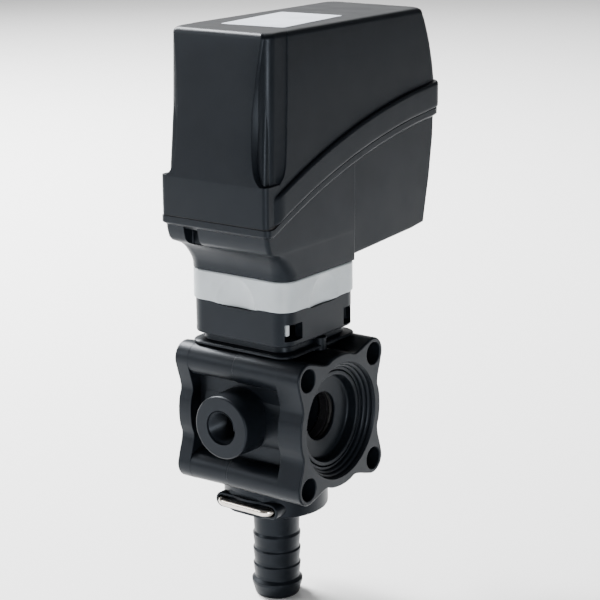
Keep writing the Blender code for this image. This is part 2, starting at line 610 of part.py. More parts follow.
# ---------------------------------------------------------------- actuator head: drive
def gear_outline(teeth, module, phase, backlash=0.0002):
    """Spur gear outline with 25 degree involute flanks; one tooth points along phase (degrees)."""
    pressure = math.radians(25)
    pitch_r = teeth * module / 2
    base_r = pitch_r * math.cos(pressure)
    tip_r, root_r = pitch_r + 0.9 * module, pitch_r - 1.15 * module
    half_pitch = math.pi / (2 * teeth) - backlash / (2 * pitch_r)

    def half_angle(radius):
        if radius <= base_r:
            return half_pitch + math.tan(pressure) - pressure
        turn = math.acos(base_r / radius)
        return half_pitch + math.tan(pressure) - pressure - (math.tan(turn) - turn)

    flank = (root_r, tip_r) if teeth > 30 else (root_r, pitch_r, tip_r)
    points = []
    for tooth in range(teeth):
        middle = math.radians(phase) + 2 * math.pi * tooth / teeth
        points += [(radius, middle - half_angle(radius)) for radius in flank]
        points += [(radius, middle + half_angle(radius)) for radius in reversed(flank)]
    return [(radius * math.cos(angle), radius * math.sin(angle)) for radius, angle in points]


def gear(name, outlines, bore, y, finish_name):
    """One gear cut from one or two toothed discs, with its bore."""
    piece = None
    for outline, low, high in outlines:
        disc = place(name, prism([(a, b + y) for a, b in outline], low, high), finish_name, (0, y, 0))
        piece = disc if piece is None else join(piece, disc)
    top = max(high for _, _, high in outlines) + 0.001
    bottom = min(low for _, low, _ in outlines) - 0.001
    return cut(piece, tool(rod(bore, bottom, top, centre=(0, y, 0), steps=MEDIUM)))


def gear_train():
    output = gear_outline(40, 0.0010, 90)
    small = gear_outline(14, 0.0010, 270 + 180 / 14)
    large = gear_outline(44, 0.0008, 90)
    pinion = gear_outline(14, 0.0008, 270 + 180 / 14)
    gear("output_gear", [(output, *OUTPUT_GEAR_Z)], SHAFT_R + GAP, 0, "white_plastic")
    compound = [(large, *LARGE_GEAR_Z), (small, LARGE_GEAR_Z[1] - 0.0002, 0.1110)]
    gear("reduction_gear", compound, 0.0018, REDUCER_Y, "white_plastic")
    gear("motor_pinion", [(pinion, LARGE_GEAR_Z[0], LARGE_GEAR_Z[1] + 0.0003)], 0.0013, MOTOR_Y, "steel")
    place("reduction_axle", rod(0.0015, 0.0955, 0.1135, centre=(0, REDUCER_Y, 0), steps=SMALL), "steel")
    clip = sleeve(0.0018, 0.0036, 0.1113, 0.1120, centre=(0, REDUCER_Y, 0), steps=SMALL)
    place("axle_clip", clip, "steel")


def gear_plate():
    outline = rounded(-0.0200, -0.0185, 0.0200, 0.0700, 0.003)
    deck = place("gear_plate", prism(outline, DECK_LOW, DECK_TOP), "steel")
    for x, y in BOARD_POSTS:
        join(deck, tool(rod(0.0018, DECK_TOP - 0.001, BOARD_Z[0] - GAP, centre=(x, y, 0), steps=SMALL)))
    holes = [(0.0068, 0, 0), (0.0018, 0, REDUCER_Y), (0.0040, 0, MOTOR_Y)]
    holes += [(0.0016, x, y) for x, y in DECK_SCREWS]
    holes += [(0.0016, x, MOTOR_Y) for x in (-0.0085, 0.0085)]
    for radius, x, y in holes:
        steps = MEDIUM if radius > 0.003 else SMALL
        cut(deck, tool(rod(radius, DECK_LOW - 0.001, DECK_TOP + 0.001, centre=(x, y, 0), steps=steps)))
    motor_screws = ((-0.0085, MOTOR_Y), (0.0085, MOTOR_Y))
    screws = {"deck_screw": (DECK_SCREWS, 0.0885), "motor_screw": (motor_screws, 0.0925)}
    for name, (places, low) in screws.items():
        for i, (x, y) in enumerate(places, start=1):
            screw = [(0, low), (0.0012, low), (0.0012, DECK_TOP + GAP), (0.0024, DECK_TOP + GAP)]
            screw += [(0.0024, DECK_TOP + 0.0017), (0, DECK_TOP + 0.0017)]
            place(f"{name}_{i}", turned(screw, centre=(x, y, 0), steps=SMALL), "steel")


def motor():
    can = [(0, 0.0675), (0.0050, 0.0675), (0.0050, 0.0690), (0.0138, 0.0690), (0.0140, 0.0696)]
    can += [(0.0140, 0.0940), (0.0132, DECK_LOW - GAP), (0.0013, DECK_LOW - GAP)]
    can += [(0.0013, 0.0880), (0, 0.0880)]
    body = place("motor_can", turned(can, centre=(0, MOTOR_Y, 0), steps=MEDIUM), "steel")
    for x in (-0.0085, 0.0085):
        cut(body, tool(rod(0.0015, 0.0915, DECK_LOW + 0.001, centre=(x, MOTOR_Y, 0), steps=SMALL)))
    shaft = rod(0.0010, 0.0884, 0.1065, centre=(0, MOTOR_Y, 0), steps=SMALL)
    place("motor_shaft", shaft, "steel", (0, MOTOR_Y, 0))


def switches():
    cam_outline = arc((0, 0), 0.0070, -160, 160, 20) + arc((0, 0), 0.0079, 168, 192, 3)
    cam = place("switch_cam", prism(cam_outline, *CAM_Z))
    cut(cam, tool(rod(SHAFT_R + GAP, CAM_Z[0] - 0.001, CAM_Z[1] + 0.001, steps=MEDIUM)))
    for name, side in (("left", -1), ("right", 1)):
        x = sorted((side * 0.0112, side * 0.0176))
        case = block((x[0], -0.0050, 0.1117), (x[1], 0.0050, BOARD_Z[0] - GAP))
        body = place(f"limit_switch_{name}", case)
        x = sorted((side * 0.0100, side * 0.0146))
        cut(body, tool(block((x[0], -0.0014, 0.1126), (x[1], 0.0014, 0.1154))))
        x = sorted((side * 0.0083, side * 0.0134))
        plunger = block((x[0], -0.0011, 0.1129), (x[1], 0.0011, 0.1151))
        place(f"switch_plunger_{name}", plunger, "white_plastic")


def circuit_board():
    board = place("circuit_board", prism(rounded(-0.0195, -0.0180, 0.0195, 0.0675, 0.001, 1), *BOARD_Z), "board")
    top = BOARD_Z[1] - 0.0002
    join(board, tool(block((-0.0150, 0.0300, top), (-0.0010, 0.0460, 0.1380))))
    join(board, tool(block((0.0030, 0.0100, top), (0.0130, 0.0200, 0.1290))))
    join(board, tool(rod(0.0040, top, 0.1390, centre=(0.0100, 0.0380, 0), steps=SMALL)))
    join(board, tool(block((-0.0120, 0.0560, top), (0.0120, 0.0640, 0.1340))))


def cable_inlet():
    """Round socket in the back wall, with four contact pins."""
    shell = [(0, 0.0722), (0.0098, 0.0722), (0.0098, 0.0736), (0.0074, 0.0736)]
    shell += [(0.0074, 0.0820), (0.0058, 0.0820), (0.0058, 0.0746), (0, 0.0746)]
    socket = place("cable_socket", turned(shell, "Y", (0, 0, INLET_Z), MEDIUM))
    spots = arc((0, 0), 0.0028, 45, 315, 3)
    for i, (x, z) in enumerate(spots, start=1):
        centre = (x, 0, INLET_Z + z)
        cut(socket, tool(rod(0.0009, 0.0700, 0.0760, "Y", centre, 8)))
        place(f"socket_pin_{i}", rod(0.0006, 0.0702, 0.0808, "Y", centre, 8), "bronze")


def build():
    for old in list(bpy.data.objects):
        bpy.data.objects.remove(old)
    valve_body()
    valve_ball()
    seats()
    retainers()
    stem_parts()
    bonnet()
    hose_tail()
    fork_clip()
    mounting_base()
    lock_ring()
    drive_shaft()
    lower_housing()
    cover()
    gasket_and_screws()
    gear_plate()
    motor()
    gear_train()
    switches()
    circuit_board()
    cable_inlet()


build()
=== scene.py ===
"""Looks of a motor-driven diverter valve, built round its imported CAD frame.

Everything visible is modelled here in millimetres in the frame's own axes and brought to metres
when a piece is made.  X is the manifold's flow axis, Z the valve stem's axis and -Y the side with
the gauge port.
"""

import json
import logging
import math
from collections.abc import Callable, Iterable, Sequence
from dataclasses import dataclass
from enum import Enum

import bmesh
import bpy
from mathutils import Euler, Matrix, Vector

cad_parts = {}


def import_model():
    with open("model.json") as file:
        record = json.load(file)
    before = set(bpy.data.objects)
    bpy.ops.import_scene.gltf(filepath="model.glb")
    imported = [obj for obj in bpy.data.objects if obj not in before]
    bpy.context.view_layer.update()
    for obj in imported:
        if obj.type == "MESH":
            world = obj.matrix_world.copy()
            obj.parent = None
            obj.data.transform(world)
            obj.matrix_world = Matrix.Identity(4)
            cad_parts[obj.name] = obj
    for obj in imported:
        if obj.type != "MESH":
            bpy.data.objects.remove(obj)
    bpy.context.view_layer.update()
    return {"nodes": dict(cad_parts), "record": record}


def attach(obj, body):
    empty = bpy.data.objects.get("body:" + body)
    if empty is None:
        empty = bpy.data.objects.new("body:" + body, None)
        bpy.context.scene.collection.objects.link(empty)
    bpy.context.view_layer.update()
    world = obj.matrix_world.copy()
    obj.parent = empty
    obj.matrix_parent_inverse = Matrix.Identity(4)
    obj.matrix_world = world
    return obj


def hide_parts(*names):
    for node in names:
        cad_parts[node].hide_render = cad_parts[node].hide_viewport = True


LOG = logging.getLogger("diverter_valve")
MM = 0.001
SMOOTH_ANGLE = math.radians(34)
FLAT_FACE_WEIGHT = 80  # how strongly large flat faces hold the normals beside them
WELD, SLIVER = 2e-7, 1e-8  # metres, below which points merge and faces count as slivers
SCREW = 15.0  # reach of the four bonnet screws each way, in millimetres
NOISE_LOW, NOISE_HIGH = 0.22, 0.78  # the range that most of a noise's values lie in
GLOSS_PATCH, MOTTLE_PATCH = 14.0, 9.0  # sizes of the slow changes in gloss and colour, in millimetres

Point = tuple[float, float]
Corner = tuple[float, float, float]
Ring = list[tuple[float, float, float]]
Recess = tuple[float, float, float, float]


# ---------------------------------------------------------------- plane outlines
def arc(centre: Point, radius: float, start: float, end: float, count: int) -> list[Point]:
    """Points along an arc.

    Args:
        centre: the arc's centre.
        radius: its radius.
        start: first angle in degrees.
        end: last angle in degrees.
        count: number of steps.

    Returns:
        count + 1 points.
    """
    turns = [math.radians(start + (end - start) * i / count) for i in range(count + 1)]
    return [(centre[0] + radius * math.cos(a), centre[1] + radius * math.sin(a)) for a in turns]


def soften(corners: Sequence[Corner], closed: bool = False, steps: int = 4) -> list[Point]:
    """Rounds the corners of a polyline.

    Args:
        corners: points with the fillet radius wanted at each, 0 for a sharp one.
        closed: True for an outline, False for an open profile.
        steps: facets in each fillet.

    Returns:
        The rounded points.  The count depends only on which radii are above 0.
    """
    count, result = len(corners), []
    for i, (x, y, radius) in enumerate(corners):
        here = Vector((x, y))
        if radius <= 0 or (not closed and i in (0, count - 1)):
            result.append((x, y))
            continue
        before, after = Vector(corners[i - 1][:2]) - here, Vector(corners[(i + 1) % count][:2]) - here
        angle = before.angle(after, math.pi)
        reach = min(radius / max(math.tan(angle / 2), 1e-6), before.length * 0.49, after.length * 0.49)
        start, end = here + before.normalized() * reach, here + after.normalized() * reach
        lean = math.sin(angle / 2)
        for k in range(steps + 1):
            t = k / steps
            bow = start * (1 - t) ** 2 + here * (2 * t * (1 - t)) * lean + end * t**2
            weight = (1 - t) ** 2 + 2 * t * (1 - t) * lean + t**2
            result.append(tuple(bow / weight))
    return result


def rounded(half_x: float, front: float, back: float, corner: float, steps: int = 8) -> list[Point]:
    """Outline of a rectangle round the Y axis with rounded corners.

    Args:
        half_x: half width in X.
        front: lowest Y.
        back: highest Y.
        corner: corner radius.
        steps: facets in each corner.

    Returns:
        A closed outline, anticlockwise from the back right corner.
    """
    r = corner
    return (arc((half_x - r, back - r), r, 0, 90, steps) + arc((-half_x + r, back - r), r, 90, 180, steps)
            + arc((-half_x + r, front + r), r, 180, 270, steps) + arc((half_x - r, front + r), r, 270, 360,
                                                                      steps))


def square(half: float, corner: float, steps: int = 8) -> list[Point]:
    """A square with rounded corners."""
    return rounded(half, -half, half, corner, steps)


def four(reach: float) -> list[Point]:
    """The four corners of a square that reaches as far as reach each way."""
    return [(a, b) for a in (-reach, reach) for b in (-reach, reach)]


def inset(outline: Sequence[Point], depth: float) -> list[Point]:
    """The outline moved inwards by depth along its own normals.

    Args:
        outline: a closed outline, anticlockwise.
        depth: how far it moves.

    Returns:
        The moved outline, with the same number of points.
    """
    count, moved = len(outline), []
    for i, point in enumerate(outline):
        here = Vector(point)
        ahead, behind = Vector(outline[(i + 1) % count]) - here, here - Vector(outline[i - 1])
        if ahead.length < 1e-9 or behind.length < 1e-9:
            ahead = behind = ahead + behind
        along = (ahead.normalized() + behind.normalized()).normalized()
        stretch = max(0.5, along.dot(ahead.normalized()))
        moved.append((here.x - along.y * depth / stretch, here.y + along.x * depth / stretch))
    return moved


# ---------------------------------------------------------------- solids
AXES: dict[str, Callable[[float, float, float], tuple[float, float, float]]] = {
    "X": lambda a, b, h: (h, a, b),
    "Y": lambda a, b, h: (a, h, b),
    "Z": lambda a, b, h: (a, b, h),
}


def make(name: str, verts: Iterable[Sequence[float]], faces: Iterable[Sequence[int]]) -> bpy.types.Object:
    """A closed mesh object from millimetres, welded and facing outwards.

    Args:
        name: the object's name.
        verts: points in millimetres.
        faces: point indices of each face.

    Returns:
        The linked object, at the origin.
    """
    mesh = bpy.data.meshes.new(name)
    mesh.from_pydata([[c * MM for c in v] for v in verts], [], list(faces))
    bm = bmesh.new()
    bm.from_mesh(mesh)
    bmesh.ops.remove_doubles(bm, verts=bm.verts, dist=WELD)
    bmesh.ops.dissolve_degenerate(bm, dist=SLIVER, edges=bm.edges)
    bmesh.ops.recalc_face_normals(bm, faces=bm.faces)
    bm.to_mesh(mesh)
    bm.free()
    piece = bpy.data.objects.new(name, mesh)
    bpy.context.scene.collection.objects.link(piece)
    return piece


def loft(name: str, rings: Sequence[Ring], closed: bool = False) -> bpy.types.Object:
    """A solid through rings that have the same number of points.

    Args:
        name: the object's name.
        rings: the rings, in order.
        closed: True if the last ring joins the first, False for flat ends.

    Returns:
        The linked object.
    """
    size, verts = len(rings[0]), [v for ring in rings for v in ring]
    faces: list[Sequence[int]] = []
    for k in range(len(rings) if closed else len(rings) - 1):
        a, b = k * size, (k + 1) % len(rings) * size
        faces += [(a + i, a + (i + 1) % size, b + (i + 1) % size, b + i) for i in range(size)]
    if not closed:
        faces += [tuple(reversed(range(size))), tuple(range(len(verts) - size, len(verts)))]
    return make(name, verts, faces)


def turned(profile: Sequence[Point], axis: str = "Z", centre: Sequence[float] = (0, 0, 0),
           steps: int = 64, name: str = "tool") -> bpy.types.Object:
    """A solid of revolution.

    Args:
        profile: (radius, height) points; both ends on the axis, or a closed run off it.
        axis: the axis it turns about.
        centre: a point on that axis.
        steps: facets round it.
        name: the object's name.

    Returns:
        The linked object.
    """
    rings = []
    for radius, height in profile:
        circle = [(radius * math.cos(2 * math.pi * i / steps), radius * math.sin(2 * math.pi * i / steps))
                  for i in range(steps)]
        ring = [AXES[axis](a, b, height) for a, b in circle]
        rings.append([tuple(p + c for p, c in zip(point, centre)) for point in ring])
    on_axis = profile[0][0] == 0 and profile[-1][0] == 0
    if on_axis:
        rings = rings[1:-1]
    return loft(name, rings, closed=not on_axis)


def rod(radius: float, low: float, high: float, axis: str = "Z", centre: Sequence[float] = (0, 0, 0),
        edge: float = 0.0, steps: int = 48) -> bpy.types.Object:
    """A cylinder with softened ends.

    Args:
        radius: its radius.
        low: start along the axis.
        high: end along the axis.
        axis: the axis it runs along.
        centre: a point on that axis.
        edge: radius of its end edges; a negative one flares, as a cutter for a softened hole.
        steps: facets round it.

    Returns:
        The linked object.
    """
    if edge == 0:
        profile = [(0, low), (radius, low), (radius, high), (0, high)]
    elif edge > 0:
        profile = soften([(0, low, 0), (radius, low, edge), (radius, high, edge), (0, high, 0)])
    else:
        e = -edge
        profile = [(0, low - e), (radius + 2 * e, low - e), (radius + e, low),
                   (radius + 0.3 * e, low + 0.4 * e),
                   (radius, low + e), (radius, high - e), (radius + 0.3 * e, high - 0.4 * e),
                   (radius + e, high), (radius + 2 * e, high + e), (0, high + e)]
    return turned(profile, axis, centre, steps)


def prism(outline: Sequence[Point], low: float, high: float, axis: str = "Z", edge: float = 0.0,
          name: str = "tool", foot: float | None = None) -> bpy.types.Object:
    """An extruded outline with rounded end edges.

    Args:
        outline: closed outline in the plane across the axis.
        low: start along the axis.
        high: end along the axis.
        axis: the axis it runs along.
        edge: radius of the end edges.
        name: the object's name.
        foot: radius of the edges at the low end, where it differs.

    Returns:
        The linked object.
    """
    foot = edge if foot is None else foot
    quarter = [math.pi / 8 * k for k in range(4)]
    rows = [(foot * (1 - math.sin(a)), low + foot * (1 - math.cos(a))) for a in quarter if foot > 0]
    rows += [(0.0, low + foot), (0.0, high - edge)]
    rows += [(edge * (1 - math.sin(a)), high - edge * (1 - math.cos(a))) for a in reversed(quarter) if edge > 0]
    rings = [[AXES[axis](a, b, place) for a, b in (inset(outline, depth) if depth else outline)]
             for depth, place in rows]
    return loft(name, rings)


def block(one: Sequence[float], other: Sequence[float], edge: float = 0.0) -> bpy.types.Object:
    """A box with rounded upright edges and ends.

    Args:
        one: a corner.
        other: the opposite corner.
        edge: radius of its end edges; the upright ones get half as much again.

    Returns:
        The linked object.
    """
    (x0, x1), (y0, y1), (z0, z1) = (sorted(pair) for pair in zip(one, other))
    outline = [(x0, y0), (x1, y0), (x1, y1), (x0, y1)]
    if edge > 0:
        outline = soften([(x, y, edge * 1.5) for x, y in outline], closed=True)
    return prism(outline, z0, z1, edge=edge)


def combine(piece: bpy.types.Object, tool: bpy.types.Object, operation: str) -> bpy.types.Object:
    """One exact boolean; the tool is used up.

    Args:
        piece: the object that stays.
        tool: the other object, used up here.
        operation: UNION, DIFFERENCE or INTERSECT.

    Returns:
        The piece.
    """
    modifier = piece.modifiers.new("combine", "BOOLEAN")
    modifier.operation, modifier.solver, modifier.object = operation, "EXACT", tool
    bake(piece)
    bpy.data.objects.remove(tool)
    return piece


def bake(piece: bpy.types.Object) -> bpy.types.Object:
    """Turns the evaluated object into its own plain mesh, without modifiers.

    Args:
        piece: the object.

    Returns:
        The same object.
    """
    bpy.context.view_layer.update()
    shown = piece.evaluated_get(bpy.context.evaluated_depsgraph_get())
    mesh = bpy.data.meshes.new_from_object(shown)
    piece.modifiers.clear()
    piece.data = mesh
    return piece


def join(piece: bpy.types.Object, *tools: bpy.types.Object) -> bpy.types.Object:
    """Adds solids to a piece."""
    for tool in tools:
        combine(piece, tool, "UNION")
    return piece


def cut(piece: bpy.types.Object, *tools: bpy.types.Object) -> bpy.types.Object:
    """Takes solids away from a piece."""
    for tool in tools:
        combine(piece, tool, "DIFFERENCE")
    return piece


def merge(piece: bpy.types.Object, *others: bpy.types.Object) -> bpy.types.Object:
    """Puts the shells of other objects into one mesh, without a boolean.

    Args:
        piece: the object that stays.
        others: the objects whose shells it takes in, used up here.

    Returns:
        The piece.
    """
    bm = bmesh.new()
    for part in (piece, *others):
        bm.from_mesh(part.data)
    bm.to_mesh(piece.data)
    bm.free()
    for part in others:
        bpy.data.objects.remove(part)
    return piece


def smooth(piece: bpy.types.Object) -> bpy.types.Object:
    """Smooth shading that keeps flat faces flat and true corners crisp.

    Args:
        piece: the object.

    Returns:
        The same object.
    """
    piece.data.shade_smooth()
    piece.data.set_sharp_from_angle(angle=SMOOTH_ANGLE)
    weighted = piece.modifiers.new("normals", "WEIGHTED_NORMAL")
    weighted.keep_sharp = True
    weighted.weight = FLAT_FACE_WEIGHT
    return bake(piece)


# ---------------------------------------------------------------- finishes
class Surface(Enum):
    """How a surface was made, which sets its fine texture."""

    MOULDED = "moulded"
    DRAWN = "drawn"
    ELASTIC = "elastic"
    PRINTED = "printed"


@dataclass(frozen=True)
class Finish:
    """One real material and the look that it gets."""

    name: str
    colour: str
    roughness: float
    surface: Surface
    metallic: float = 0.0
    specular: float = 0.5
    tint: str = "#FFFFFF"
    grain: float = 0.20
    relief: float = 0.010
    drift: float = 0.06
    coat: float = 0.0
    sheen: float = 0.0


FINISHES: dict[str, Finish] = {
    # glass-filled nylon, moulded with a fine spark-eroded grain
    "black_plastic": Finish("glass_filled_nylon", "#0B0E12", 0.38, Surface.MOULDED, specular=0.15,
                            tint="#E4F0FF", drift=0.045),
    # acetal, dyed light grey
    "grey_plastic": Finish("grey_acetal", "#9FA6AA", 0.42, Surface.MOULDED, grain=0.3, relief=0.006),
    # natural acetal gears
    "white_plastic": Finish("natural_acetal", "#E8E6DC", 0.38, Surface.MOULDED, grain=0.3, relief=0.004),
    # carbon-filled PTFE seats, nearly black
    "seat_plastic": Finish("carbon_filled_ptfe", "#161618", 0.40, Surface.MOULDED, specular=0.3, grain=0.4),
    # nitrile rubber seals
    "rubber": Finish("nitrile_rubber", "#131314", 0.62, Surface.ELASTIC, specular=0.3, relief=0.008,
                     sheen=0.08),
    # stainless spring wire and screws
    "stainless": Finish("stainless_wire", "#CFC8BF", 0.24, Surface.DRAWN, metallic=1.0, relief=0.002),
    # zinc-plated steel
    "steel": Finish("zinc_plated_steel", "#B9BCC0", 0.33, Surface.DRAWN, metallic=1.0, relief=0.002),
    # sintered bronze
    "bronze": Finish("sintered_bronze", "#A9824F", 0.42, Surface.MOULDED, metallic=1.0, relief=0.006),
    # green solder resist on glass-fibre board
    "board": Finish("solder_resist", "#1E5B34", 0.36, Surface.PRINTED, coat=0.3),
    # blank printed polyester label
    "label": Finish("polyester_label", "#D3D9E4", 0.40, Surface.PRINTED, coat=0.15),
}


def linear(colour: str) -> tuple[float, float, float, float]:
    """An sRGB hex colour as linear RGBA."""
    levels = [int(colour[i:i + 2], 16) / 255 for i in (1, 3, 5)]
    return (*[c / 12.92 if c <= 0.04045 else ((c + 0.055) / 1.055) ** 2.4 for c in levels], 1.0)


def add_node(tree: bpy.types.NodeTree, kind: str, **values: object) -> bpy.types.Node:
    """Adds a node with its settings and links.

    Args:
        tree: the node tree.
        kind: the node's type name.
        values: attributes, or inputs by name with spaces as underscores; a socket is linked to its input.

    Returns:
        The node.
    """
    node = tree.nodes.new(kind)
    node.location = (220 * len(tree.nodes), 0)
    for key, value in values.items():
        socket = node.inputs.get(key.replace("_", " "))
        if isinstance(value, bpy.types.NodeSocket):
            tree.links.new(value, socket)
        elif socket is not None:
            socket.default_value = value
        else:
            setattr(node, key, value)
    return node


class Painter:
    """Builds each finish once as a procedural material on Object coordinates."""

    def __init__(self) -> None:
        """Starts with no material made."""
        self.made: dict[str, bpy.types.Material] = {}

    def material(self, slot: str) -> bpy.types.Material:
        """The material of a record slot."""
        if slot not in self.made:
            self.made[slot] = self.build(FINISHES[slot])
        return self.made[slot]

    @staticmethod
    def noise(tree: bpy.types.NodeTree, source: bpy.types.NodeSocket, size: float,
              stretch: tuple[float, float, float] = (1, 1, 1), detail: float = 3.0) -> bpy.types.NodeSocket:
        """A noise whose features are about size millimetres.

        Args:
            tree: the node tree.
            source: Object coordinates.
            size: feature size in millimetres.
            stretch: factor on each axis.
            detail: octaves.

        Returns:
            The noise's factor socket.
        """
        place = add_node(tree, "ShaderNodeMapping", Vector=source, Scale=stretch)
        cloud = add_node(tree, "ShaderNodeTexNoise", Vector=place.outputs["Vector"], Scale=1 / (size * MM),
                         Detail=detail)
        return cloud.outputs["Fac"]

    @staticmethod
    def spread(tree: bpy.types.NodeTree, source: bpy.types.NodeSocket, low: float,
               high: float) -> bpy.types.NodeSocket:
        """Maps a noise's middle range onto low to high.

        Args:
            tree: the node tree.
            source: the noise.
            low: lowest result.
            high: highest result.

        Returns:
            The result's socket.
        """
        node = add_node(tree, "ShaderNodeMapRange", interpolation_type="SMOOTHSTEP", Value=source,
                        From_Min=NOISE_LOW, From_Max=NOISE_HIGH, To_Min=low, To_Max=high)
        return node.outputs["Result"]

    def build(self, finish: Finish) -> bpy.types.Material:
        """Makes the material of one finish.

        Args:
            finish: the finish.

        Returns:
            The material.
        """
        material = bpy.data.materials.new(finish.name)
        material.use_nodes = True
        tree = material.node_tree
        tree.nodes.clear()
        source = add_node(tree, "ShaderNodeTexCoord").outputs["Object"]
        # slow drift of the gloss, from handling and from the mould
        gloss = self.spread(tree, self.noise(tree, source, GLOSS_PATCH, detail=2.0),
                            finish.roughness - finish.drift, finish.roughness + finish.drift)
        # faint mottling of the colour, a tenth darker to a twelfth lighter
        mottle = self.spread(tree, self.noise(tree, source, MOTTLE_PATCH), 0.0, 1.0)
        mix = add_node(tree, "ShaderNodeMix", data_type="RGBA", Factor=mottle)
        red, green, blue, _ = linear(finish.colour)
        mix.inputs[6].default_value = (*[c * 0.90 for c in (red, green, blue)], 1.0)
        mix.inputs[7].default_value = (*[min(1.0, c * 1.08) for c in (red, green, blue)], 1.0)
        # fine relief, drawn out along X on a drawn surface
        stretch = (0.15, 1.0, 1.0) if finish.surface is Surface.DRAWN else (1, 1, 1)
        bump = add_node(tree, "ShaderNodeBump", Height=self.noise(tree, source, finish.grain, stretch, 2.0),
                        Strength=0.5, Distance=finish.relief * MM)
        shader = add_node(tree, "ShaderNodeBsdfPrincipled", Base_Color=mix.outputs[2], Roughness=gloss,
                          Normal=bump.outputs["Normal"], Metallic=finish.metallic,
                          Specular_IOR_Level=finish.specular, Specular_Tint=linear(finish.tint),
                          Coat_Weight=finish.coat, Sheen_Weight=finish.sheen)
        add_node(tree, "ShaderNodeOutputMaterial", Surface=shader.outputs["BSDF"])
        return material


